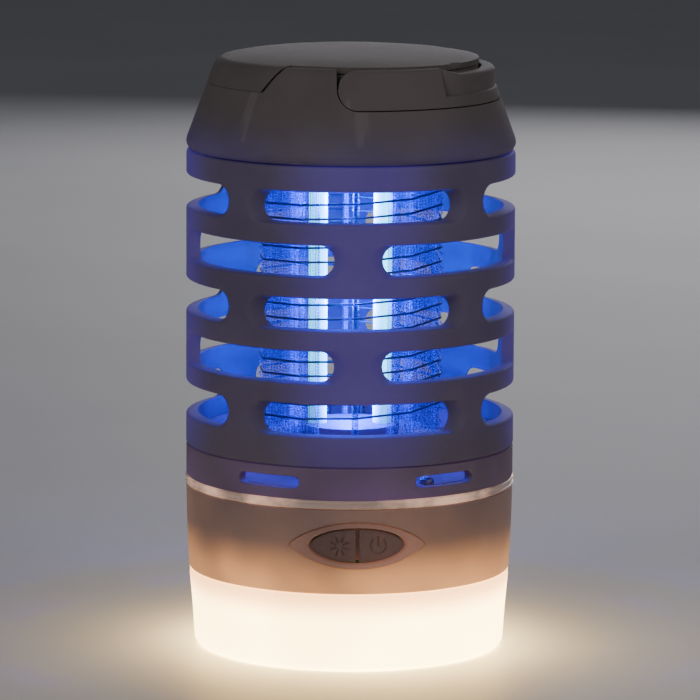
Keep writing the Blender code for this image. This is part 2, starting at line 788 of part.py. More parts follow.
def grip_section(band_radius):
    """Section of the grip: a low flange flush with the cap and an upright band above it."""
    return [
        (HANDLE_INNER_RADIUS, HANDLE_BOTTOM),
        (39.7, HANDLE_BOTTOM),
        (38.65, FLANGE_TOP - 0.1),
        (band_radius - 0.3, FLANGE_TOP),
        (band_radius, 152.0),
        (band_radius, 156.9),
        (band_radius - 1.0, 158.2),
        (HANDLE_INNER_RADIUS, HANDLE_TOP - 0.4),
    ]


def make_handle():
    """Half-ring bail: full-height blocks at the pivots and a stepped grip between them."""
    block_section = [
        (HANDLE_INNER_RADIUS, HANDLE_BOTTOM),
        (39.7, HANDLE_BOTTOM),
        (38.0, 153.0),
        (37.6, 154.7),
        (36.9, 156.4),
        (35.8, 158.1),
        (35.2, HANDLE_TOP),
        (HANDLE_INNER_RADIUS, HANDLE_TOP),
    ]
    stations = [(azimuth, block_section) for azimuth in spread(-10, GRIP_START, 7)]
    stations += [
        (GRIP_START + 0.3 + 14 * share, grip_section(36.5 + (BAND_RADIUS - 36.5) * share ** 0.5))
        for share in (0.0, 0.3, 0.6, 1.0)
    ]
    stations += [(azimuth, grip_section(BAND_RADIUS)) for azimuth in spread(58, 90, 4)]
    stations += [(180 - azimuth, section) for azimuth, section in reversed(stations[:-1])]
    handle = loft("carry_handle", stations)
    lug_turn = [pi / 2 + pi * i / 12 for i in range(13)]
    lug = [(LUG_RADIUS * cos(a), PIVOT_Z + LUG_RADIUS * sin(a)) for a in lug_turn]
    far_end = [(50, PIVOT_Z - LUG_RADIUS), (50, PIVOT_Z + LUG_RADIUS)]
    side_view = prism("handle_side", lug + far_end, "Y", -50, 50)
    combine(handle, "INTERSECT", side_view)
    combine(handle, "DIFFERENCE", pin_hole_pair("lug_holes", 32, 36.6))
    paint(handle, HOUSING, 0.5)
    hang_on(handle, (0, 0, PIVOT_Z))
    for name, side in (("handle_pin_front", -1), ("handle_pin_rear", 1)):
        ends = sorted((30.0 * side, 36.2 * side))
        paint(prism(name, circle(0, PIVOT_Z, PIN_RADIUS, 16), "Y", *ends), STEEL, 0.3, 1.0)


def main():
    clear_scene()
    make_diffuser()
    make_lantern_light()
    make_lower_body()
    make_buttons()
    make_switchgear()
    make_port()
    make_battery()
    make_high_voltage()
    make_light_ring()
    make_collar()
    make_deck()
    make_lamp()
    make_grid()
    make_cage()
    make_shoulder()
    make_top_plate()
    make_handle()


main()
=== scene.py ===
"""Looks of the lantern-type electric bug zapper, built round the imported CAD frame.

The frame is in metres. Lengths below are millimetres and angles are degrees; build() turns
millimetres into metres. Azimuth is counted from the front (-Y), positive towards +X.
"""

from math import ceil, copysign, cos, degrees, hypot, pi, radians, sin, sqrt

import bmesh
import bpy
from mathutils import Matrix, Vector
from mathutils.geometry import delaunay_2d_cdt


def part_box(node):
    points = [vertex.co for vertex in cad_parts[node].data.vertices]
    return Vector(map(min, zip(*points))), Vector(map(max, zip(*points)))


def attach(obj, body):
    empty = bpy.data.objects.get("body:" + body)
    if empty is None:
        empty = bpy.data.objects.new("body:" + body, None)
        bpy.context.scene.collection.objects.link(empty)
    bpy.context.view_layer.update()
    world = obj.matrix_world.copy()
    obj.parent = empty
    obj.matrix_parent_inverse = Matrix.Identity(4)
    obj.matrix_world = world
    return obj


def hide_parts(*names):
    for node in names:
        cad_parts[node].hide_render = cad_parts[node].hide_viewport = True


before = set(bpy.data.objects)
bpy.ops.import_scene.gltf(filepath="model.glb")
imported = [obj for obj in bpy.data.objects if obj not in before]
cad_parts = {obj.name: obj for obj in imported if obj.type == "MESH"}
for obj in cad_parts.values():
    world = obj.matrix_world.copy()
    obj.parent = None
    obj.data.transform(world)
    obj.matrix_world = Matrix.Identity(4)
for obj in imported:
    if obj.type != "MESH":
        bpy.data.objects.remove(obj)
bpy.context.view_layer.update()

MM = 0.001
SEAM = 0.07                  # visible gap between two covers


def node_span(node):
    """Lowest and highest z, and the outer radius, of a round CAD node, in millimetres."""
    low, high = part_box(node)
    return low.z / MM, high.z / MM, high.x / MM


DIFFUSER_HIGH = node_span("diffuser")[1]
BODY_LOW, BODY_HIGH, BODY_RADIUS = node_span("lower_body")
RING_LOW, RING_HIGH, RING_RADIUS = node_span("light_ring")
COLLAR_SPIGOT_LOW, COLLAR_SPIGOT_HIGH, _ = node_span("collar")
CAGE_LOW, CAGE_HIGH, CAGE_RADIUS = node_span("cage")
SHOULDER_LOW, _, _ = node_span("shoulder")
TOTAL_HEIGHT = node_span("top_plate")[1]
GRID_LOW, GRID_HIGH, _ = node_span("grid_frame")
GUARD_LOW, GUARD_HIGH, GUARD_RADIUS = node_span("lamp_guard")
LAMP_LOW, LAMP_HIGH, LAMP_REACH = node_span("lamp_tube")

HOUSING_SEGMENTS = 144
CAGE_INNER_RADIUS = 40.8
COLLAR_LOW, COLLAR_HIGH = 46.35, 54.75

# Cage slots: rows alternate by 45 degrees, four slots in each.
SLOT_MIDDLE_Z, SLOT_PITCH = 95.2, 13.95
SLOT_ROWS = [SLOT_MIDDLE_Z + SLOT_PITCH * row for row in (-2, -1, 0, 1, 2)]
# A slot's rim from the outer face inwards: (half angle, half height, share of the wall's depth).
SLOT_RIM = (
    (41.9, 4.86, 0.0),
    (41.2, 4.62, 0.025),
    (40.5, 4.44, 0.09),
    (39.7, 4.30, 0.20),
    (38.8, 4.18, 0.36),
    (37.9, 4.09, 0.54),
    (37.1, 4.02, 0.72),
    (36.5, 3.97, 0.87),
    (36.2, 3.95, 0.96),
    (36.25, 4.05, 1.0),
)

SLIT_AZIMUTHS = (-32.5, 32.5)
SLIT_Z = 50.7

BUTTON_Z = 34.2
PANEL_HALF_ANGLE = 24.0
PANEL_HALF_HEIGHT = 6.3
OPENING_HALF_ANGLE = 17.35
OPENING_HALF_HEIGHT = 4.85
KEY_FACE_RADIUS = 43.1
BURST_CENTRE = -4.65         # icons: arc millimetres from the front
BURST_RAY = (1.0, 2.7)       # inner and outer end of a ray
POWER_CENTRE, POWER_RADIUS = 5.45, 2.05
RAY_WIDTH, POWER_WIDTH = 0.5, 0.42
GROOVE_DEPTH = 0.35

BODY_FOOT_RADIUS = 43.1
PORT_AZIMUTH, PORT_HALF_ANGLE = 180.0, 9.8
PORT_LOW, PORT_HIGH = 28.7, 38.3

PIVOT_Z = 153.7
HANDLE_LOW, HANDLE_HIGH = 148.2, 158.3
HANDLE_INNER_RADIUS = 34.5
RECESS_RADIUS = 33.7
LUG_REACH = 5.45             # from the pivot to the lug's end
RECESS_REACH = 5.75
GRIP_START = 37.0
BAND_RADIUS = 38.2
LOBE_LOW = 152.05
PLATE_RADIUS = 33.95
RIM_TOP = 158.6
# The finger dip: a ball at (radius, azimuth, z), its half sizes, and the way it faces.
SCOOP_CENTRE, SCOOP_SIZE, SCOOP_TURN = (34.6, 50.3, 160.2), (1.8, 4.2, 2.6), 51.0

FIN_COUNT = 10
FIN_FIRST_AZIMUTH = 1.0
FIN_THICKNESS = 1.2
WIRE_DRAWN_RADIUS = 0.3      # a little thinner than the CAD wire, as in the photo
WIRE_PATH_RADIUS = 24.9
WIRE_LEAD = 7.6
WIRE_FIRST_Z = 61.2
WIRE_END_Z = 128.84

TUBE_RADIUS = 2.5
GUARD_INNER_RADIUS = 13.4


# ---------------------------------------------------------------- mesh helpers

def polar(radius, azimuth, z):
    angle = radians(azimuth)
    return (radius * sin(angle), -radius * cos(angle), z)


def build(name, vertices, faces, sharp=35):
    """A smooth-shaded closed mesh from points in millimetres."""
    mesh = bpy.data.meshes.new(name)
    mesh.from_pydata([Vector(v) * MM for v in vertices], [], faces)
    work = bmesh.new()
    work.from_mesh(mesh)
    bmesh.ops.remove_doubles(work, verts=work.verts, dist=2e-7)
    bmesh.ops.dissolve_degenerate(work, edges=work.edges, dist=1e-7)
    bmesh.ops.recalc_face_normals(work, faces=work.faces)
    work.to_mesh(mesh)
    work.free()
    mesh.shade_smooth()
    mesh.set_sharp_from_angle(angle=radians(sharp))
    piece = bpy.data.objects.new(name, mesh)
    bpy.context.scene.collection.objects.link(piece)
    return piece


def rounded(corners, steps=5):
    """A closed outline from (u, v, fillet) corners, each fillet drawn as an arc."""
    outline = []
    count = len(corners)
    for i, (u, v, fillet) in enumerate(corners):
        here = Vector((u, v))
        before = Vector(corners[i - 1][:2]) - here
        after = Vector(corners[(i + 1) % count][:2]) - here
        reach = min(fillet, 0.49 * before.length, 0.49 * after.length)
        start = here + before.normalized() * reach
        end = here + after.normalized() * reach
        for j in range(steps + 1):
            t = j / steps
            outline.append(tuple(start * (1 - t) ** 2 + here * 2 * t * (1 - t) + end * t ** 2))
    return outline


def turned(name, profile, segments=HOUSING_SEGMENTS, sharp=35):
    """A closed (radius, height) profile turned round a vertical axis."""
    vertices, rings = [], []
    for radius, height in profile:
        count = 1 if radius < 1e-6 else segments
        rings.append([len(vertices) + i % count for i in range(segments)])
        for i in range(count):
            vertices.append(polar(radius, 360 * i / segments, height))
    faces = []
    for low, high in zip(rings, rings[1:] + rings[:1]):
        for i in range(segments):
            j = (i + 1) % segments
            corners = list(dict.fromkeys((low[i], low[j], high[j], high[i])))
            if len(corners) > 2:
                faces.append(corners)
    return build(name, vertices, faces, sharp)


def loft(name, loops, closed_ends=True, sharp=35):
    """Joins loops that have the same number of points, in order."""
    count = len(loops[0])
    vertices = [point for loop in loops for point in loop]
    faces = []
    for i in range(len(loops) - 1):
        for j in range(count):
            k = (j + 1) % count
            faces.append((i * count + j, i * count + k, (i + 1) * count + k, (i + 1) * count + j))
    if closed_ends:
        faces += [list(range(count)), list(range((len(loops) - 1) * count, len(loops) * count))]
    return build(name, vertices, faces, sharp)


def spread(start, end, steps):
    return [start + (end - start) * i / steps for i in range(steps + 1)]


def cut(piece, tool, sharp=35):
    """Cuts a tool out of a piece and removes the tool."""
    modifier = piece.modifiers.new("cut", "BOOLEAN")
    modifier.operation = "DIFFERENCE"
    modifier.solver = "EXACT"
    modifier.object = tool
    bpy.context.view_layer.update()
    evaluated = piece.evaluated_get(bpy.context.evaluated_depsgraph_get())
    result = bpy.data.meshes.new_from_object(evaluated)
    piece.modifiers.clear()
    piece.data = result
    result.shade_smooth()
    result.set_sharp_from_angle(angle=radians(sharp))
    bpy.data.objects.remove(tool, do_unlink=True)
    return piece


def inside(polygon, x, y):
    found = False
    for (x0, y0), (x1, y1) in zip(polygon, polygon[1:] + polygon[:1]):
        if (y0 > y) != (y1 > y) and x < x0 + (x1 - x0) * (y - y0) / (y1 - y0):
            found = not found
    return found


def clipped(outline, start, end):
    """Indices of an outline's points between two azimuths, in order, and whether all are there."""
    keep = [start - 1e-4 <= u <= end + 1e-4 for u, _ in outline]
    if all(keep):
        return list(range(len(outline))), True
    count = len(outline)
    first = next(i for i in range(count) if keep[i] and not keep[i - 1])
    chain = []
    i = first
    while keep[i % count] and len(chain) < count:
        chain.append(i % count)
        i += 1
    return chain, False


def pierced_sheet(start, span, low, high, outlines, angle_step, height_step):
    """Triangles, in (azimuth, z), of a sheet with holes left open."""
    end = start + span
    points, edges, known = [], [], {}

    def add(u, v):
        key = (round(u, 4), round(v, 4))
        if key not in known:
            known[key] = len(points)
            points.append(Vector(key))
        return known[key]

    holes = [o for o in outlines if any(start - 1e-4 <= u <= end + 1e-4 for u, _ in o)]
    for outline in holes:
        chain, whole = clipped(outline, start, end)
        ids = [add(*outline[i]) for i in chain]
        edges += list(zip(ids, ids[1:] + ids[:1])) if whole else list(zip(ids, ids[1:]))
    rim = [Vector(p) for p in points]
    columns = round(span / angle_step)
    rows = ceil((high - low) / height_step)
    for i in range(columns + 1):
        u = start + span * i / columns
        for j in range(rows + 1):
            v = low + (high - low) * j / rows
            border = j in (0, rows)
            near = any(abs(p.x - u) < 0.6 and abs(p.y - v) < 0.6 for p in rim)
            if border or not (near or any(inside(o, u, v) for o in holes)):
                add(u, v)
    flat, _, triangles, *_ = delaunay_2d_cdt(points, edges, [], 0, 1e-6)
    kept = []
    for triangle in triangles:
        corners = [flat[i] for i in triangle]
        middle = sum(corners, Vector((0, 0))) / 3
        if not any(inside(o, middle.x, middle.y) for o in holes):
            kept.append([tuple(c) for c in corners])
    return kept


def pierced_shell(name, start, span, copies, outer, inner, holes, rims, steps):
    """A round wall with rounded holes.

    outer and inner are (radius function, low z, high z). A hole is a list of (outline, depth)
    rings from the outer face to the inner one. rims are two (radius, z) paths from the outer
    face to the inner one, below and above.
    """
    vertices, faces = [], []

    def put(points):
        faces.append(list(range(len(vertices), len(vertices) + len(points))))
        vertices.extend(points)

    for (radius, low, high), ring in ((outer, 0), (inner, -1)):
        outlines = [hole[ring][0] for hole in holes]
        for triangle in pierced_sheet(start, span, low, high, outlines, *steps):
            put([polar(radius(v), u, v) for u, v in triangle])

    def wall_point(u, v, depth):
        return polar(outer[0](v) * (1 - depth) + inner[0](v) * depth, u, v)

    for hole in holes:
        if not any(start - 1e-4 <= u <= start + span + 1e-4 for u, _ in hole[0][0]):
            continue
        chain, whole = clipped(hole[0][0], start, start + span)
        links = list(zip(chain, chain[1:] + chain[:1])) if whole else list(zip(chain, chain[1:]))
        for (near, near_depth), (far, far_depth) in zip(hole, hole[1:]):
            for i, j in links:
                put([
                    wall_point(*near[i], near_depth),
                    wall_point(*near[j], near_depth),
                    wall_point(*far[j], far_depth),
                    wall_point(*far[i], far_depth),
                ])
    columns = round(span / steps[0])
    for path in rims:
        for i in range(columns):
            a, b = (start + span * k / columns for k in (i, i + 1))
            for (r0, z0), (r1, z1) in zip(path, path[1:]):
                put([polar(r0, a, z0), polar(r0, b, z0), polar(r1, b, z1), polar(r1, a, z1)])
    all_vertices, all_faces = [], []
    for copy in range(copies):
        turn = Matrix.Rotation(radians(span * copy), 3, "Z")
        offset = len(all_vertices)
        all_vertices += [tuple(turn @ Vector(v)) for v in vertices]
        all_faces += [[i + offset for i in face] for face in faces]
    return build(name, all_vertices, all_faces)


def stadium(azimuth, z, half_angle, half_height, radius, end_steps=10, middle_steps=14):
    """Closed (azimuth, z) outline of a slot with half-round ends, with points on its middle line."""
    end_angle = degrees(half_height / radius)
    straight = half_angle - end_angle
    outline = [(straight * (2 * i / middle_steps - 1), half_height) for i in range(middle_steps)]
    for i in range(end_steps + 1):
        a = pi / 2 - pi * i / end_steps
        outline.append((straight + end_angle * cos(a), half_height * sin(a)))
    outline += [(straight * (1 - 2 * i / middle_steps), -half_height) for i in range(1, middle_steps)]
    for i in range(end_steps):
        a = -pi / 2 - pi * i / end_steps
        outline.append((-straight + end_angle * cos(a), half_height * sin(a)))
    return [(azimuth + u, z + v) for u, v in outline]


def oval(half_angle, half_height, power, pinch, count=96):
    """Closed outline whose half height falls as (1 - |t|^power)^pinch from its middle."""
    outline = []
    for i in range(count):
        a = 2 * pi * i / count
        t = cos(a)
        half = half_height * max(0.0, 1 - abs(t) ** power) ** pinch
        outline.append((half_angle * t, BUTTON_Z + (half if sin(a) >= 0 else -half)))
    return outline


# ---------------------------------------------------------------- materials

def new_material(name):
    material = bpy.data.materials.new(name)
    material.use_nodes = True
    tree = material.node_tree
    return material, tree, tree.nodes["Principled BSDF"]


def coordinates(tree):
    return tree.nodes.new("ShaderNodeTexCoord").outputs["Object"]


def noise(tree, scale, detail=3.0, roughness=0.5):
    node = tree.nodes.new("ShaderNodeTexNoise")
    node.inputs["Scale"].default_value = scale
    node.inputs["Detail"].default_value = detail
    node.inputs["Roughness"].default_value = roughness
    tree.links.new(coordinates(tree), node.inputs["Vector"])
    return node.outputs["Fac"]


def remap(tree, value, low, high, to_low, to_high):
    node = tree.nodes.new("ShaderNodeMapRange")
    node.interpolation_type = "SMOOTHSTEP"
    sockets = ("From Min", "From Max", "To Min", "To Max")
    for socket, number in zip(sockets, (low, high, to_low, to_high)):
        node.inputs[socket].default_value = number
    tree.links.new(value, node.inputs["Value"])
    return node.outputs["Result"]


def arithmetic(tree, operation, first, second):
    node = tree.nodes.new("ShaderNodeMath")
    node.operation = operation
    for socket, value in zip(node.inputs, (first, second)):
        if isinstance(value, (int, float)):
            socket.default_value = value
        else:
            tree.links.new(value, socket)
    return node.outputs["Value"]


def mixed(tree, factor, first, second):
    """Mixes two colours; each is a colour or a socket."""
    node = tree.nodes.new("ShaderNodeMix")
    node.data_type = "RGBA"
    tree.links.new(factor, node.inputs["Factor"])
    for socket, value in (("A", first), ("B", second)):
        target = next(s for s in node.inputs if s.name == socket and s.type == "RGBA")
        if isinstance(value, tuple):
            target.default_value = (*value, 1.0)
        else:
            tree.links.new(value, target)
    return next(s for s in node.outputs if s.type == "RGBA")


def height_above_floor(tree):
    node = tree.nodes.new("ShaderNodeSeparateXYZ")
    tree.links.new(coordinates(tree), node.inputs["Vector"])
    return node.outputs["Z"]


def four_sided(tree):
    """1 towards the front, back and sides, falling to 0.2 halfway between them."""
    place = tree.nodes.new("ShaderNodeSeparateXYZ")
    tree.links.new(coordinates(tree), place.inputs["Vector"])
    turn = arithmetic(tree, "ARCTAN2", place.outputs["X"], place.outputs["Y"])
    wave = arithmetic(tree, "COSINE", arithmetic(tree, "MULTIPLY", turn, 4.0), 0.0)
    return remap(tree, wave, -0.8, 1.0, 0.2, 1.0)


def add_bump(tree, shader, height, distance, strength=1.0):
    node = tree.nodes.new("ShaderNodeBump")
    node.inputs["Distance"].default_value = distance
    node.inputs["Strength"].default_value = strength
    tree.links.new(height, node.inputs["Height"])
    tree.links.new(node.outputs["Normal"], shader.inputs["Normal"])


def tint(colour, amount):
    return tuple(min(1.0, c * amount) for c in colour)


def plastic(name, colour, roughness=0.5, grain=0.00002, glow=None, bridges=False):
    """Moulded plastic: fine spark-eroded grain, slight blotches and edges made lighter by a painted
    highlight.

    glow is (colour, low z, high z, strength at low, strength at high) in metres: painted glow,
    emission that stands in for lamp light coming through the wall. With bridges it is strongest every
    90 degrees.
    """
    material, tree, shader = new_material(name)
    blotches = remap(tree, noise(tree, 45.0, 4.0), 0.3, 0.7, 0.0, 1.0)
    base = mixed(tree, blotches, tint(colour, 0.90), tint(colour, 1.08))
    pointiness = tree.nodes.new("ShaderNodeNewGeometry").outputs["Pointiness"]
    # painted highlight: convex edges are tinted lighter, standing in for light caught on rounded edges
    edge_highlight = remap(tree, pointiness, 0.52, 0.62, 0.0, 0.35)
    base = mixed(tree, edge_highlight, base, tint(colour, 1.7))
    tree.links.new(base, shader.inputs["Base Color"])
    spots = noise(tree, 900.0, 2.0)
    gloss = remap(tree, spots, 0.3, 0.7, roughness - 0.02, roughness + 0.03)
    tree.links.new(gloss, shader.inputs["Roughness"])
    shader.inputs["Specular IOR Level"].default_value = 0.22
    add_bump(tree, shader, noise(tree, 3200.0, 3.0, 0.6), grain, 0.5)
    # painted glow: emission on the plastic, by height, standing in for light from the lamps inside
    if glow:
        painted_glow_colour, low, high, at_low, at_high = glow
        fall = remap(tree, height_above_floor(tree), low, high, at_low, at_high)
        uneven = remap(tree, noise(tree, 30.0, 2.0), 0.3, 0.7, 0.45, 1.45)
        if bridges:
            uneven = four_sided(tree)
        tree.links.new(arithmetic(tree, "MULTIPLY", fall, uneven), shader.inputs["Emission Strength"])
        shader.inputs["Emission Color"].default_value = (*painted_glow_colour, 1.0)
    return material


def clear_plastic(name, colour, roughness, middle_alpha, edge_alpha, dots=0.0):
    """Clear plastic whose edges look denser than its face, with optional frosted dots."""
    material, tree, shader = new_material(name)
    shader.inputs["Base Color"].default_value = (*colour, 1.0)
    shader.inputs["Roughness"].default_value = roughness
    shader.inputs["IOR"].default_value = 1.49
    weight = tree.nodes.new("ShaderNodeLayerWeight")
    weight.inputs["Blend"].default_value = 0.35
    alpha = remap(tree, weight.outputs["Facing"], 0.25, 0.95, middle_alpha, edge_alpha)
    if dots:
        cells = tree.nodes.new("ShaderNodeTexVoronoi")
        cells.inputs["Scale"].default_value = 1300.0
        cells.inputs["Randomness"].default_value = 0.1
        tree.links.new(coordinates(tree), cells.inputs["Vector"])
        dotted = remap(tree, cells.outputs["Distance"], 0.2, 0.45, dots, 0.0)
        alpha = arithmetic(tree, "ADD", alpha, dotted)
        add_bump(tree, shader, cells.outputs["Distance"], 0.0001)
    else:
        add_bump(tree, shader, noise(tree, 400.0, 2.0), 0.00001)
    tree.links.new(alpha, shader.inputs["Alpha"])
    return material


def metal(name, colour, roughness):
    material, tree, shader = new_material(name)
    streaks = noise(tree, 1500.0, 4.0)
    base = mixed(tree, streaks, tint(colour, 0.8), tint(colour, 1.15))
    tree.links.new(base, shader.inputs["Base Color"])
    gloss = remap(tree, streaks, 0.3, 0.7, roughness - 0.07, roughness + 0.1)
    tree.links.new(gloss, shader.inputs["Roughness"])
    shader.inputs["Metallic"].default_value = 1.0
    add_bump(tree, shader, streaks, 0.00001)
    return material


def ring_material():
    """Clear acrylic with painted light: streaks of emission that stand in for the warm light it carries
    round the body and for its highlights.
    """
    material, tree, shader = new_material("ring_clear")
    shader.inputs["Base Color"].default_value = (0.62, 0.50, 0.46, 1.0)
    shader.inputs["Roughness"].default_value = 0.12
    shader.inputs["Emission Color"].default_value = (1.0, 0.56, 0.36, 1.0)
    # painted glow and highlight streaks, as emission in stretched noise
    streaks = remap(tree, noise(tree, 55.0, 4.0, 0.6), 0.42, 0.68, 0.05, 0.75)
    tree.links.new(streaks, shader.inputs["Emission Strength"])
    add_bump(tree, shader, noise(tree, 300.0, 2.0), 0.00002)
    return material


def lamp_material():
    """The lit tube: blue-white glass, dimmer where it enters its holder."""
    material, tree, shader = new_material("lamp_glow")
    shader.inputs["Base Color"].default_value = (0.5, 0.7, 1.0, 1.0)
    shader.inputs["Roughness"].default_value = 0.2
    rise = remap(tree, height_above_floor(tree), 0.058, 0.080, 0.25, 1.0)
    uneven = remap(tree, noise(tree, 120.0, 2.0), 0.3, 0.7, 0.9, 1.1)
    strength = arithmetic(tree, "MULTIPLY", arithmetic(tree, "MULTIPLY", rise, uneven), 3.8)
    tree.links.new(strength, shader.inputs["Emission Strength"])
    shader.inputs["Emission Color"].default_value = (0.10, 0.85, 1.0, 1.0)
    return material


def diffuser_material():
    """Frosted cup, lit from inside: bright below, dimmer and warmer at its top edge."""
    material, tree, shader = new_material("diffuser_glow")
    shader.inputs["Base Color"].default_value = (0.95, 0.88, 0.76, 1.0)
    shader.inputs["Roughness"].default_value = 0.45
    height = height_above_floor(tree)
    top = remap(tree, height, 0.013, 0.0205, 0.0, 1.0)
    glow = mixed(tree, top, (1.0, 0.68, 0.25), (1.0, 0.46, 0.15))
    tree.links.new(glow, shader.inputs["Emission Color"])
    uneven = remap(tree, noise(tree, 25.0, 2.0), 0.3, 0.7, 0.9, 1.1)
    fall = remap(tree, height, 0.013, 0.0205, 1.0, 0.45)
    strength = arithmetic(tree, "MULTIPLY", arithmetic(tree, "MULTIPLY", fall, uneven), 11.0)
    tree.links.new(strength, shader.inputs["Emission Strength"])
    add_bump(tree, shader, noise(tree, 1500.0, 3.0), 0.00002)
    return material


TAUPE = (0.165, 0.142, 0.140)
# Colours of painted glow: emission on the housing standing in for light from the UV lamp and the lit
# cup below
PAINTED_BLUE_GLOW = (0.13, 0.05, 1.0)
PAINTED_VIOLET_GLOW = (0.55, 0.20, 0.9)
PAINTED_AMBER_GLOW = (1.0, 0.40, 0.11)
PAINTED_ROSE_GLOW = (1.0, 0.40, 0.24)


def make_materials():
    # cap, cage, collar, body, button and bezel carry a painted glow: emission standing in for lamp
    # light falling on them
    return {
        "cap": plastic("cap_plastic", TAUPE, 0.62, glow=(PAINTED_BLUE_GLOW, 0.130, 0.148, 0.045, 0.0)),
        "cage": plastic(
            "cage_plastic", TAUPE, 0.6, glow=(PAINTED_BLUE_GLOW, 0.050, 0.068, 0.07, 0.14), bridges=True
        ),
        "collar": plastic(
            "collar_plastic", TAUPE, 0.55, glow=(PAINTED_VIOLET_GLOW, 0.044, 0.056, 0.07, 0.045)
        ),
        "body": plastic(
            "body_plastic", (0.29, 0.225, 0.235), 0.42, glow=(PAINTED_AMBER_GLOW, 0.021, 0.036, 0.80, 0.06)
        ),
        "button": plastic(
            "button_plastic", (0.15, 0.115, 0.115), 0.5, glow=(PAINTED_ROSE_GLOW, 0.028, 0.040, 0.04, 0.025)
        ),
        "bezel": plastic(
            "bezel_plastic", (0.26, 0.19, 0.18), 0.42, glow=(PAINTED_ROSE_GLOW, 0.026, 0.040, 0.18, 0.09)
        ),
        "diffuser": diffuser_material(),
        "lamp": lamp_material(),
        "guard": clear_plastic("guard_clear", (0.02, 0.12, 0.9), 0.08, 0.0, 0.35),
        "grid": clear_plastic("grid_clear", (0.02, 0.12, 0.6), 0.4, 0.24, 0.6, dots=0.5),
        "ring": ring_material(),
        "wire": metal("wire_steel", (0.16, 0.20, 0.24), 0.35),
        "steel": metal("plated_steel", (0.55, 0.56, 0.58), 0.3),
        "brass": metal("terminal_brass", (0.72, 0.52, 0.24), 0.3),
        "insulator": plastic("insulator_plastic", (0.70, 0.70, 0.68), 0.45),
        "rubber": plastic("seal_rubber", (0.02, 0.02, 0.02), 0.8, 0.00003),
        "flap": plastic("flap_rubber", (0.13, 0.11, 0.11), 0.75, 0.00003),
        "silicone": plastic("membrane_silicone", (0.6, 0.6, 0.57), 0.7, 0.00003),
        "board": plastic("board_resin", (0.02, 0.12, 0.05), 0.3, 0.00001),
        "led_board": plastic("led_board_resin", (0.75, 0.75, 0.72), 0.35, 0.00001),
        "cell": plastic("cell_wrap", (0.04, 0.12, 0.38), 0.3, 0.00001),
        "black": plastic("black_plastic", (0.03, 0.03, 0.03), 0.5),
    }


# ---------------------------------------------------------------- pieces

def finish_piece(piece, material, body, nodes):
    piece.data.materials.clear()
    piece.data.materials.append(material)
    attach(piece, body)
    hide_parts(*nodes)


def make_diffuser(looks):
    outside = [
        (0, 0, 0), (36.5, 0, 0), (41.5, 0.05, 5.0), (42.1, 10.5, 6.0), (42.95, 19.3, 0.3),
        (42.75, 19.6, 0.2), (43.0, DIFFUSER_HIGH, 0.35), (41.0, DIFFUSER_HIGH, 0.2),
        (40.2, 9.0, 4.0), (38.6, 2.2, 3.0), (0, 2.2, 0),
    ]
    cup = turned("light_cup", rounded(outside, 6))
    finish_piece(cup, looks["diffuser"], "base", ["diffuser"])


def body_radius(z):
    t = max(0.0, min(1.0, (z - BODY_LOW) / (BODY_HIGH - BODY_LOW)))
    return BODY_FOOT_RADIUS + (BODY_RADIUS - BODY_FOOT_RADIUS) * (1.6 * t - 0.6 * t * t)


def make_lower_body(looks):
    low, high = BODY_LOW + 0.6, BODY_HIGH - 0.6
    panel = []
    for grow, depth in ((0.35, 0.0), (0.12, 0.06), (0.0, 0.2), (0.0, 1.0)):
        outline = oval(PANEL_HALF_ANGLE + grow * 1.6, PANEL_HALF_HEIGHT + grow, 2.0, 0.8)
        panel.append((outline, depth))
    pocket = []
    for grow, depth in ((0.25, 0.0), (0.08, 0.08), (0.0, 0.25), (0.0, 1.0)):
        left, right = PORT_AZIMUTH - PORT_HALF_ANGLE, PORT_AZIMUTH + PORT_HALF_ANGLE
        corners = [(left, PORT_LOW), (right, PORT_LOW), (right, PORT_HIGH), (left, PORT_HIGH)]
        middle_v = (PORT_LOW + PORT_HIGH) / 2
        spaced = []
        for (u0, v0), (u1, v1) in zip(corners, corners[1:] + corners[:1]):
            spaced += [(u0 + (u1 - u0) * i / 8, v0 + (v1 - v0) * i / 8) for i in range(8)]
        outline = [
            (u + grow * (1.3 if u > PORT_AZIMUTH else -1.3), v + grow * (1 if v > middle_v else -1))
            for u, v in spaced
        ]
        pocket.append((outline, depth))
    lower_rim = [
        (body_radius(low), low), (body_radius(low) - 0.05, BODY_LOW + 0.25), (42.85, BODY_LOW),
        (41.0, BODY_LOW), (41.0, 25.2), (3.0, 25.2), (3.0, 26.8), (41.2, 26.8), (41.2, 27.0),
    ]
    upper_rim = [
        (body_radius(high), high), (body_radius(high) - 0.08, BODY_HIGH - 0.2),
        (43.5, BODY_HIGH), (41.2, BODY_HIGH), (41.2, high),
    ]
    shell = pierced_shell(
        "body_shell", -90, 360, 1,
        (body_radius, low, high),
        (lambda z: 41.2, 27.0, high),
        [panel, pocket], [lower_rim, upper_rim], (2.5, 1.6),
    )
    boss = build_box("port_boss", (-9.5, 38.4, 27.2), (9.5, 41.15, 40.5))
    boss = cut(boss, build_box("socket_hole", (-4.9, 36.0, 29.75), (4.9, 43.0, 33.65)))
    finish_piece(shell, looks["body"], "base", ["lower_body"])
    boss.data.materials.append(looks["body"])
    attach(boss, "base")


def build_box(name, low, high):
    spans = list(zip(low, high))
    vertices = [(x, y, z) for z in spans[2] for y in spans[1] for x in spans[0]]
    faces = [(0, 1, 3, 2), (4, 5, 7, 6), (0, 1, 5, 4), (2, 3, 7, 6), (0, 2, 6, 4), (1, 3, 7, 5)]
    return build(name, vertices, faces)


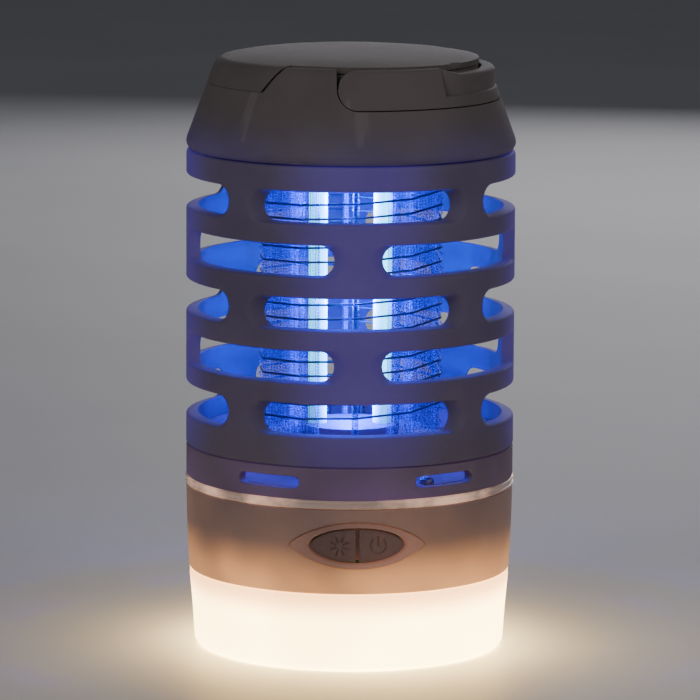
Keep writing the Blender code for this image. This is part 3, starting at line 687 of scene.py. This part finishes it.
def make_bezel(looks):
    """Almond surround: a thin raised rim, a dished face, and a round lip down to the keys."""
    rings = (
        (0.0, 41.2), (0.0, 43.1), (0.02, 43.75), (0.05, 43.98), (0.09, 44.02), (0.13, 43.95),
        (0.18, 43.83), (0.35, 43.85), (0.6, 43.95), (0.82, 44.02), (0.91, 43.95), (0.97, 43.7),
        (1.0, 43.3), (1.0, 41.2),
    )
    outer = oval(PANEL_HALF_ANGLE - 0.15, PANEL_HALF_HEIGHT - 0.12, 2.0, 0.8)
    inner = oval(OPENING_HALF_ANGLE, OPENING_HALF_HEIGHT, 2.2, 0.6)
    loops = []
    for share, radius in rings:
        loops.append([
            polar(radius, a[0] * (1 - share) + b[0] * share, a[1] * (1 - share) + b[1] * share)
            for a, b in zip(outer, inner)
        ])
    loops.append(loops[0])
    bezel = loft("key_surround", loops, closed_ends=False, sharp=50)
    finish_piece(bezel, looks["bezel"], "base", ["button_bezel"])


def key_outline(side, shrink, count=40):
    """Half of the key opening, left (-1) or right (+1), pulled in by shrink millimetres."""
    per_degree = 0.76
    half_angle = OPENING_HALF_ANGLE - (0.4 + shrink) / per_degree
    half_height = OPENING_HALF_HEIGHT - 0.35 - shrink
    split = (0.5 + shrink) / per_degree
    outline = []
    for i in range(count + 1):
        a = pi / 2 - pi * i / count
        u = split + (half_angle - split) * cos(a)
        t = u / half_angle
        half = half_height * max(0.0, 1 - t ** 2.2) ** 0.6
        outline.append((side * u, BUTTON_Z + (half if a >= 0 else -half)))
    return outline


def key_shape(name, side):
    loops = []
    edge = ((0.0, 41.0), (0.0, 42.6), (0.08, 42.88), (0.25, 43.03), (0.5, KEY_FACE_RADIUS))
    for shrink, radius in edge:
        loops.append([polar(radius, u, z) for u, z in key_outline(side, shrink)])
    rim = key_outline(side, 0.5)
    middle_u = sum(u for u, _ in rim) / len(rim)
    for share in (0.75, 0.5, 0.25):
        loops.append([
            polar(
                KEY_FACE_RADIUS, middle_u + (u - middle_u) * share, BUTTON_Z + (z - BUTTON_Z) * share
            )
            for u, z in rim
        ])
    return loft(name, loops, sharp=50)


def stroke(name, points, width):
    """A groove cutter that follows (arc millimetres from the front, z) points on the keys."""
    radius = KEY_FACE_RADIUS
    loops = []
    for i, (s, z) in enumerate(points):
        before = Vector(points[max(0, i - 1)])
        after = Vector(points[min(len(points) - 1, i + 1)])
        along = (after - before).normalized()
        across = Vector((-along.y, along.x)) * width / 2
        loop = []
        for side, level in ((1, -GROOVE_DEPTH), (-1, -GROOVE_DEPTH), (-1, 0.5), (1, 0.5)):
            spot = Vector((s, z)) + across * side
            loop.append(polar(radius + level, degrees(spot.x / radius), spot.y))
        loops.append(loop)
    return loft(name, loops)


def make_keys(looks):
    """The two keys, with a generic burst and a power symbol pressed into them."""
    light = key_shape("light_key", -1)
    for i in range(8):
        a = radians(22.5 + 45 * i)
        points = [(BURST_CENTRE + r * cos(a), BUTTON_Z + r * sin(a)) for r in BURST_RAY]
        light = cut(light, stroke("ray", points, RAY_WIDTH), sharp=50)
    finish_piece(light, looks["button"], "light_key", ["light_button"])
    power = key_shape("power_key", 1)
    turns = spread(radians(132), radians(408), 24)
    ring = [
        (POWER_CENTRE + POWER_RADIUS * cos(a), BUTTON_Z + 0.1 + POWER_RADIUS * sin(a))
        for a in turns
    ]
    power = cut(power, stroke("ring", ring, POWER_WIDTH), sharp=50)
    bar = [(POWER_CENTRE, BUTTON_Z + z) for z in (0.0, 2.6)]
    power = cut(power, stroke("bar", bar, POWER_WIDTH), sharp=50)
    finish_piece(power, looks["button"], "power_key", ["power_button"])


def make_light_ring(looks):
    low, high = RING_LOW - 0.27, RING_HIGH + 0.22
    corners = [
        (41.6, low, 0.2), (43.8, low, 0.25),
        (RING_RADIUS, low + 0.3, 0.25), (RING_RADIUS, low + 0.62, 0.1),
        (43.85, low + 0.8, 0.1), (43.85, high - 0.8, 0.1), (RING_RADIUS, high - 0.62, 0.1),
        (RING_RADIUS, high - 0.3, 0.25), (43.8, high, 0.25), (41.6, high, 0.2),
    ]
    ring = turned("clear_ring", rounded(corners, 5), sharp=60)
    finish_piece(ring, looks["ring"], "base", ["light_ring"])


def make_collar(looks):
    low, high = COLLAR_LOW + 0.5, COLLAR_HIGH - 0.5
    slits = []
    for azimuth in SLIT_AZIMUTHS:
        rings = []
        for grow, depth in ((0.28, 0.0), (0.12, 0.03), (0.03, 0.1), (0.0, 0.2), (-0.02, 1.0)):
            half = 1.6 + grow
            half_angle = 12.0 + degrees(grow / BODY_RADIUS)
            outline = stadium(azimuth, SLIT_Z, half_angle, half, BODY_RADIUS, 10, 10)
            rings.append((outline, depth))
        slits.append(rings)
    lower_rim = [
        (BODY_RADIUS, low), (BODY_RADIUS - 0.08, COLLAR_LOW + 0.15), (43.6, COLLAR_LOW),
        (40.8, COLLAR_LOW), (40.8, COLLAR_SPIGOT_LOW), (39.2, COLLAR_SPIGOT_LOW),
        (39.2, 45.6), (35.5, 45.6),
        (35.5, 47.2), (41.3, 47.2), (41.3, 47.3),
    ]
    upper_rim = [
        (BODY_RADIUS, high), (BODY_RADIUS - 0.08, COLLAR_HIGH - 0.15), (43.6, COLLAR_HIGH),
        (40.45, COLLAR_HIGH), (40.45, COLLAR_SPIGOT_HIGH - 0.3), (40.15, COLLAR_SPIGOT_HIGH),
        (39.2, COLLAR_SPIGOT_HIGH), (38.9, COLLAR_SPIGOT_HIGH - 0.3), (38.9, 53.4), (41.3, 53.0),
    ]
    collar = pierced_shell(
        "vent_collar", -90, 180, 2,
        (lambda z: BODY_RADIUS, low, high),
        (lambda z: 41.3, 47.3, 53.0),
        slits, [lower_rim, upper_rim], (2.5, 1.5),
    )
    finish_piece(collar, looks["collar"], "base", ["collar"])


def make_cage(looks):
    slots = []
    for row, z in enumerate(SLOT_ROWS):
        for azimuth in ((0, 90) if row % 2 == 0 else (45,)):
            slots.append([
                (stadium(azimuth, z, half_angle, half_height, CAGE_RADIUS), depth)
                for half_angle, half_height, depth in SLOT_RIM
            ])
    low, high = CAGE_LOW + 1.0, CAGE_HIGH - 1.4
    flange = CAGE_HIGH - 2.0
    lower_rim = [
        (CAGE_RADIUS, low), (CAGE_RADIUS, CAGE_LOW + 0.5), (CAGE_RADIUS - 0.1, CAGE_LOW + 0.18),
        (CAGE_RADIUS - 0.35, CAGE_LOW), (41.1, CAGE_LOW), (CAGE_INNER_RADIUS, CAGE_LOW + 0.3),
        (CAGE_INNER_RADIUS, low),
    ]
    upper_rim = [
        (CAGE_RADIUS, high), (CAGE_RADIUS - 0.04, CAGE_HIGH - 0.75),
        (CAGE_RADIUS - 0.2, CAGE_HIGH - 0.3),
        (CAGE_RADIUS - 0.5, CAGE_HIGH - 0.07), (CAGE_RADIUS - 0.9, CAGE_HIGH), (36.0, CAGE_HIGH),
        (36.0, flange), (CAGE_INNER_RADIUS, flange), (CAGE_INNER_RADIUS, flange - 0.4),
    ]
    cage = pierced_shell(
        "slotted_cage", 0, 90, 4,
        (lambda z: CAGE_RADIUS, low, high),
        (lambda z: CAGE_INNER_RADIUS, low, flange - 0.4),
        slots, [lower_rim, upper_rim], (2.5, 1.8),
    )
    finish_piece(cage, looks["cage"], "head", ["cage"])


def cone_radius(z):
    """Outer radius of the cap's tapered wall."""
    return 43.3 - (z - 138.5) * (43.3 - 38.0) / (153.0 - 138.5)


def wedge(name, centre, half_low, half_high, low, high, inner, outer, steps=48):
    """A curved block about an azimuth, whose ends lean as they rise."""
    loops = []
    for i in range(steps + 1):
        t = 2 * i / steps - 1
        loops.append([
            polar(outer, centre + half_low * t, low),
            polar(outer, centre + half_high * t, high),
            polar(inner, centre + half_high * t, high),
            polar(inner, centre + half_low * t, low),
        ])
    return loft(name, loops)


def lobe_half_angle(z):
    return 50.0 + 9.0 * (z - LOBE_LOW) / (159.5 - LOBE_LOW)


RIM_CORNERS = [
    (cone_radius(153.4), 153.4, 0.8),
    (37.0, 156.0, 1.8),
    (35.9, 157.8, 1.5),
    (34.9, RIM_TOP, 0.8),
]


def make_shoulder(looks):
    """The cap's wall, with a short ring below it that keeps light out of the seam."""
    corners = [(0, 134.6, 0), (34.9, 134.6, 0), (34.9, 132.6, 0.2), (35.7, 132.6, 0.2)]
    corners += [(35.7, 134.6, 0), (40.2, 134.6, 0.1), (40.4, SHOULDER_LOW, 0.1)]
    corners += [(43.2, SHOULDER_LOW, 0.3), (43.95, 135.5, 1.0)]
    corners += [(43.95, 136.9, 1.2), (43.3, 138.5, 1.5)]
    corners += RIM_CORNERS
    corners += [
        (34.15, RIM_TOP, 0.2), (34.15, 157.0, 0), (31.2, 157.0, 0), (31.2, 145.6, 0),
        (38.2, 145.6, 0), (40.9, 138.5, 0), (40.9, 136.4, 0), (0, 136.4, 0),
    ]
    shoulder = turned("cap_shoulder", rounded(corners, 4), 180)
    arc = spread(180, 270, 12)
    side_view = [(-RECESS_REACH, 170.0)]
    side_view += [
        (RECESS_REACH * cos(radians(a)), PIVOT_Z + RECESS_REACH * sin(radians(a))) for a in arc
    ]
    side_view += [(60.0, PIVOT_Z - RECESS_REACH), (60.0, 170.0)]
    recess = loft("recess", [[(x, y, z) for x, z in side_view] for y in (-60.0, 60.0)])
    block = [(0, 140.0), (RECESS_RADIUS, 140.0), (RECESS_RADIUS, 175.0), (0, 175.0)]
    core = turned("core", block, 180)
    recess = cut(recess, core)
    shoulder = cut(shoulder, recess)
    grow = 0.08
    for name, low, high, inner in (("seat", LOBE_LOW - SEAM, 166.0, 35.0), ("rim", 157.0, 165.0, 33.4)):
        half_low, half_high = lobe_half_angle(low) + grow, lobe_half_angle(high) + grow
        shoulder = cut(shoulder, wedge(name, -90, half_low, half_high, low, high, inner, 50.0))
    finish_piece(shoulder, looks["cap"], "head", ["shoulder"])


def dome_height(radius):
    share = radius / PLATE_RADIUS
    return TOTAL_HEIGHT - 1.5 * share ** 2 - 0.8 * share ** 8


def make_top_plate(looks):
    """The cap's top: a low dome whose left edge runs down into a skirt lobe."""
    dome = [(r, dome_height(r), 0) for r in spread(0, 32.0, 10)]
    corners = dome + [(34.5, 158.7, 0.6)] + [(r, z, f) for r, z, f in reversed(RIM_CORNERS[:3])]
    corners += [
        (cone_radius(LOBE_LOW), LOBE_LOW, 0.15), (35.3, LOBE_LOW, 0.1), (35.3, 157.3, 0.1),
        (30.8, 157.3, 0), (30.8, 155.9, 0), (28.8, 155.9, 0), (28.8, 158.2, 0), (0, 158.9, 0),
    ]
    plate = turned("cap_plate", rounded(corners, 4), 180)
    low, high = 145.0, 170.0
    half_low, half_high = 180 - lobe_half_angle(low), 180 - lobe_half_angle(high)
    trim = wedge("trim", 90, half_low, half_high, low, high, PLATE_RADIUS, 60.0, 96)
    plate = cut(plate, trim)
    plate = cut(plate, finger_scoop())
    finish_piece(plate, looks["cap"], "head", ["top_plate"])


def finger_scoop():
    """A flattened ball that dips the plate's edge beside the grip; it doesn't cut through."""
    half_x, half_y, half_z = SCOOP_SIZE
    loops = []
    for latitude in spread(-88, 88, 12):
        ring = []
        for longitude in spread(0, 345, 23):
            reach = cos(radians(latitude))
            x = half_x * reach * cos(radians(longitude))
            y = half_y * reach * sin(radians(longitude))
            ring.append(Vector((x, y, half_z * sin(radians(latitude)))))
        loops.append(ring)
    turn = Matrix.Rotation(radians(SCOOP_TURN - 90), 4, "Z")
    place = Matrix.Translation(polar(*SCOOP_CENTRE)) @ turn
    return loft("scoop", [[tuple(place @ p) for p in ring] for ring in loops])


def handle_section(azimuth):
    """The bail's section at an azimuth: full height at the blocks, stepped along the grip."""
    from_block = min(azimuth, 180 - azimuth) - GRIP_START
    corners = [(HANDLE_INNER_RADIUS, HANDLE_LOW, 0.3), (cone_radius(HANDLE_LOW), HANDLE_LOW, 0.35)]
    if from_block < 0:
        corners += [
            (cone_radius(151.1), 151.1, 0.0), (cone_radius(151.35), 151.35, 0.0),
            (cone_radius(153.9), 153.9, 1.0), (36.3, HANDLE_HIGH, 2.3),
            (HANDLE_INNER_RADIUS, HANDLE_HIGH, 0.35),
        ]
    else:
        rise = min(1.0, from_block / 13.0)
        band = 36.2 + (BAND_RADIUS - 36.2) * sqrt(1 - (1 - rise) ** 2)
        top = HANDLE_HIGH - 0.2 - 1.5 * min(1.0, from_block / 10.0)
        corners += [
            (cone_radius(151.1), 151.1, 0.25), (band - 0.02, 151.35, 0.25),
            (band, 154.0, 0.0), (band, top, 1.3), (HANDLE_INNER_RADIUS, top, 0.35),
        ]
    return rounded(corners, 4)


def make_handle(looks):
    azimuths = spread(-9.1, 0, 14) + spread(1.5, GRIP_START - 0.35, 20)
    azimuths += [GRIP_START - 0.1, GRIP_START + 0.1]
    azimuths += spread(GRIP_START + 0.8, 60, 26) + spread(62, 90, 14)
    azimuths += [180 - a for a in reversed(azimuths[:-1])]
    lower_corner, upper_corner = 5.35, 4.9
    loops = []
    for azimuth in azimuths:
        loop = []
        for radius, z in handle_section(azimuth):
            x, y, _ = polar(radius, azimuth, z)
            x = max(x, -LUG_REACH)
            lift, drop = (
                corner - sqrt(max(0.0, corner ** 2 - max(0.0, corner - (x + LUG_REACH)) ** 2))
                for corner in (lower_corner, upper_corner)
            )
            z = min(max(z, HANDLE_LOW + lift), HANDLE_HIGH - drop)
            if x < 0:
                y = copysign(sqrt(min(hypot(x, y), cone_radius(z)) ** 2 - x ** 2), y)
            loop.append((x, y, z))
        loops.append(loop)
    handle = loft("bail", loops, sharp=40)
    finish_piece(handle, looks["cap"], "handle", ["carry_handle"])


def fin_outline(azimuth):
    """A fin's (radius, z) outline, with rounded teeth between the wires that cross it."""
    low, high = GRID_LOW + 7.5, GRID_HIGH - 1.0
    share = ((azimuth - FIN_FIRST_AZIMUTH - 180) % 360) / 360
    first_wire = WIRE_FIRST_Z + WIRE_LEAD * share
    pitch = WIRE_LEAD / 2
    outline = [(16.0, high), (16.0, low)]
    for i in range(221):
        z = low + (high - low) * i / 220
        phase = 2 * pi * (z - first_wire) / pitch
        outline.append((24.35 + 0.5 * (1 - cos(phase)), z))
    return outline


def make_grid(looks):
    ring = rounded([
        (15.8, GRID_LOW, 0.2), (24.0, GRID_LOW, 0.3), (24.0, 57.5, 0.4), (15.8, 57.5, 0.3),
    ], 3)
    top = rounded([
        (15.8, GRID_HIGH - 1.5, 0.2), (24.0, GRID_HIGH - 1.5, 0.3),
        (24.0, GRID_HIGH, 0.3), (15.8, GRID_HIGH, 0.2),
    ], 3)
    frame_piece = turned("comb_frame", ring, 96)
    work = bmesh.new()
    work.from_mesh(frame_piece.data)
    parts = [turned("comb_top", top, 96)]
    for i in range(FIN_COUNT):
        azimuth = FIN_FIRST_AZIMUTH + 360 * i / FIN_COUNT
        along = Vector(polar(1, azimuth, 0))
        across = Vector((-along.y, along.x, 0))
        outline = fin_outline(azimuth)
        loops = []
        for offset, inset in ((-0.5, 0.12), (-0.42, 0.0), (0.42, 0.0), (0.5, 0.12)):
            loop = []
            for radius, z in outline:
                pulled = radius + inset if radius < 17 else radius - inset
                spot = along * pulled + across * offset * FIN_THICKNESS
                loop.append((spot.x, spot.y, z))
            loops.append(loop)
        parts.append(loft(f"fin_{i}", loops, sharp=50))
    for part in parts:
        work.from_mesh(part.data)
        bpy.data.objects.remove(part, do_unlink=True)
    work.to_mesh(frame_piece.data)
    work.free()
    frame_piece.data.set_sharp_from_angle(angle=radians(45))
    finish_piece(frame_piece, looks["grid"], "base", ["grid_frame"])


def make_wire(name, node, start_z, looks):
    """A wire bent over each fin, drawn as a smooth tube with tight bends."""
    steps = round((WIRE_END_Z - start_z) / WIRE_LEAD * FIN_COUNT)
    curve = bpy.data.curves.new(name, "CURVE")
    curve.dimensions = "3D"
    curve.bevel_depth = WIRE_DRAWN_RADIUS * MM
    curve.bevel_resolution = 4
    curve.use_fill_caps = True
    corners = []
    for i in range(steps + 1):
        azimuth = FIN_FIRST_AZIMUTH + 180 + 360 * i / FIN_COUNT
        corners.append(Vector(polar(WIRE_PATH_RADIUS, azimuth, start_z + WIRE_LEAD * i / FIN_COUNT)))
    points = [corners[0]]
    for before, here, after in zip(corners, corners[1:], corners[2:]):
        for share in (0.06, 0.02):
            points.append(here + (before - here) * share)
        for share in (0.02, 0.06):
            points.append(here + (after - here) * share)
    points.append(corners[-1])
    line = curve.splines.new("POLY")
    line.points.add(len(points) - 1)
    for point, place in zip(line.points, points):
        point.co = (*(place * MM), 1.0)
    line.use_smooth = True
    wire = bpy.data.objects.new(name, curve)
    bpy.context.scene.collection.objects.link(wire)
    finish_piece(wire, looks["wire"], "base", [node])


def make_port_flap(looks):
    """Soft cover over the charging socket: a pillowed plate with three grip ribs."""
    low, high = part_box("port_cover")
    half_width, bottom, top = high.x / MM, low.z / MM, high.z / MM
    back, front = low.y / MM, high.y / MM
    loops = []
    pillow = ((0.0, front - 0.45), (0.12, front - 0.2), (0.4, front - 0.05), (0.9, front))
    for inset, y in ((0.0, back), *pillow):
        corners = [
            (-half_width + inset, bottom + inset, 1.4), (half_width - inset, bottom + inset, 1.4),
            (half_width - inset, top - inset, 0.6), (-half_width + inset, top - inset, 0.6),
        ]
        loops.append([(x, y - 0.012 * x * x * 0.5, z) for x, z in rounded(corners, 6)])
    flap = loft("socket_flap", loops, sharp=60)
    finish_piece(flap, looks["flap"], "port_flap", ["port_cover"])
    rib_run = ((-3.2, 0.35), (-3.0, 0.8), (-2.7, 1.0), (0.0, 1.0), (2.7, 1.0), (3.0, 0.8), (3.2, 0.35))
    for i in range(3):
        z = bottom + 1.7 + 1.1 * i
        rib = rounded([
            (-0.32, -0.3, 0.1), (0.32, -0.3, 0.1), (0.32, 0.28, 0.22), (-0.32, 0.28, 0.22),
        ], 4)
        loops = [
            [(x, front + depth * rise - 0.006 * x * x, z + u * rise) for u, depth in rib]
            for x, rise in rib_run
        ]
        ridge = loft(f"flap_rib_{i}", loops, sharp=60)
        ridge.data.materials.append(looks["flap"])
        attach(ridge, "port_flap")


def make_lamp(looks):
    bend = 4.0
    leg = LAMP_REACH - TUBE_RADIUS
    top = LAMP_HIGH - TUBE_RADIUS
    left = [(-leg, 0, z) for z in spread(LAMP_LOW, top - bend, 12)]
    left += [
        (-leg + bend - bend * cos(a), 0, top - bend + bend * sin(a))
        for a in spread(0, pi / 2, 10)[1:]
    ]
    line = left + [(-x, y, z) for x, y, z in reversed(left)]
    loops = []
    for i, point in enumerate(line):
        before, after = Vector(line[max(0, i - 1)]), Vector(line[min(len(line) - 1, i + 1)])
        along = (after - before).normalized()
        side = Vector((0, 1, 0))
        other = along.cross(side)
        loops.append([
            tuple(Vector(point) + (side * cos(a) + other * sin(a)) * TUBE_RADIUS)
            for a in (2 * pi * k / 28 for k in range(28))
        ])
    tube = loft("uv_tube", loops)
    finish_piece(tube, looks["lamp"], "base", ["lamp_tube"])
    wall = rounded([
        (GUARD_INNER_RADIUS, GUARD_LOW, 0.2), (GUARD_RADIUS, GUARD_LOW, 0.2),
        (GUARD_RADIUS, GUARD_HIGH, 0.4), (GUARD_INNER_RADIUS, GUARD_HIGH, 0.4),
    ], 3)
    guard = turned("guard_sleeve", wall, 96)
    finish_piece(guard, looks["guard"], "base", ["lamp_guard"])


def dress_frame(looks):
    """Materials for the CAD nodes that keep their own shape."""
    finishes = {
        "steel": [
            "handle_pin_front", "handle_pin_rear", "cage_screw_1", "cage_screw_2", "cage_screw_3",
            "deck_screw_1", "deck_screw_2", "deck_screw_3", "usb_socket",
            "battery_contact_left", "battery_contact_right",
        ],
        "brass": ["terminal_live", "terminal_return"],
        "insulator": ["upper_insulator", "reflector"],
        "collar": ["chamber_floor", "lamp_base"],
        "rubber": ["seal_ring"],
        "silicone": ["button_membrane"],
        "board": ["control_board"],
        "led_board": ["led_board"],
        "cell": ["battery_cell_1", "battery_cell_2"],
        "black": ["hv_module", "switch_light", "switch_power", "battery_tray"],
    }
    for look, nodes in finishes.items():
        for node in nodes:
            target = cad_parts[node]
            target.data.materials.clear()
            target.data.materials.append(looks[look])


# ---------------------------------------------------------------- stage

def make_stage():
    floor_material, tree, shader = new_material("floor_pale")
    speckle = remap(tree, noise(tree, 6.0, 5.0), 0.3, 0.7, 0.0, 1.0)
    base = mixed(tree, speckle, (0.60, 0.60, 0.61), (0.64, 0.64, 0.65))
    tree.links.new(base, shader.inputs["Base Color"])
    shader.inputs["Roughness"].default_value = 0.55
    size = 3.0
    mesh = bpy.data.meshes.new("floor")
    corners = [(-size, -size, 0), (size, -size, 0), (size, size, 0), (-size, size, 0)]
    mesh.from_pydata(corners, [], [(0, 1, 2, 3)])
    floor = bpy.data.objects.new("floor", mesh)
    mesh.materials.append(floor_material)
    bpy.context.scene.collection.objects.link(floor)
    world = bpy.data.worlds.new("studio")
    world.use_nodes = True
    world.node_tree.nodes["Background"].inputs["Color"].default_value = (0.80, 0.84, 0.95, 1.0)
    world.node_tree.nodes["Background"].inputs["Strength"].default_value = 0.075
    bpy.context.scene.world = world


LIGHT_SIZE = 0.9
LIGHT_TARGET = (0, 0, 0.09)


def add_area_light(name, place, power, colour):
    """A round soft light, in metres, that faces the middle of the object."""
    data = bpy.data.lights.new(name, "AREA")
    data.shape = "DISK"
    data.size = LIGHT_SIZE
    data.energy = power
    data.color = colour
    light = bpy.data.objects.new(name, data)
    light.location = place
    light.rotation_euler = (Vector(LIGHT_TARGET) - Vector(place)).to_track_quat("-Z", "Y").to_euler()
    bpy.context.scene.collection.objects.link(light)


def make_lights():
    """Three soft studio lights, and blue points up the lamp's axis that light the grid."""
    add_area_light("key_light", (-0.75, -0.95, 0.75), 3.6, (1.0, 0.96, 0.93))
    add_area_light("fill_light", (0.95, -0.65, 0.55), 2.2, (1.0, 0.95, 0.93))
    add_area_light("back_light", (0.25, 1.1, 0.55), 3.4, (0.97, 0.96, 1.0))
    for share in (0.15, 0.5, 0.85):
        data = bpy.data.lights.new("lamp_fill", "POINT")
        data.color = (0.0, 0.01, 1.0)
        data.energy = 0.2
        data.shadow_soft_size = 0.003
        light = bpy.data.objects.new("lamp_fill", data)
        light.location = (0, 0, (LAMP_LOW + (LAMP_HIGH - LAMP_LOW) * share) * MM)
        light.visible_camera = False
        bpy.context.scene.collection.objects.link(light)


def make_camera():
    """Long lens a little above the object, slightly to its left."""
    target = Vector((0.0, 0.0, 0.0795))
    distance, azimuth, elevation = 1.43, radians(-3.0), radians(8.8)
    data = bpy.data.cameras.new("camera")
    data.lens = 274.0
    data.sensor_width = 36.0
    data.clip_end = 20.0
    camera = bpy.data.objects.new("camera", data)
    away = Vector((sin(azimuth) * cos(elevation), -cos(azimuth) * cos(elevation), sin(elevation)))
    camera.location = target + away * distance
    roll = Matrix.Rotation(radians(0.3), 4, "Z")
    aim = (-away).to_track_quat("-Z", "Y").to_matrix().to_4x4()
    camera.matrix_world = Matrix.Translation(camera.location) @ aim @ roll
    bpy.context.scene.collection.objects.link(camera)
    bpy.context.scene.camera = camera


make_camera()
looks = make_materials()
make_diffuser(looks)
make_lower_body(looks)
make_bezel(looks)
make_keys(looks)
make_light_ring(looks)
make_collar(looks)
make_cage(looks)
make_shoulder(looks)
make_top_plate(looks)
make_handle(looks)
make_grid(looks)
make_wire("live_wire", "wire_live", WIRE_FIRST_Z, looks)
make_wire("return_wire", "wire_return", WIRE_FIRST_Z + WIRE_LEAD / 2, looks)
make_lamp(looks)
make_port_flap(looks)
dress_frame(looks)
make_stage()
make_lights()
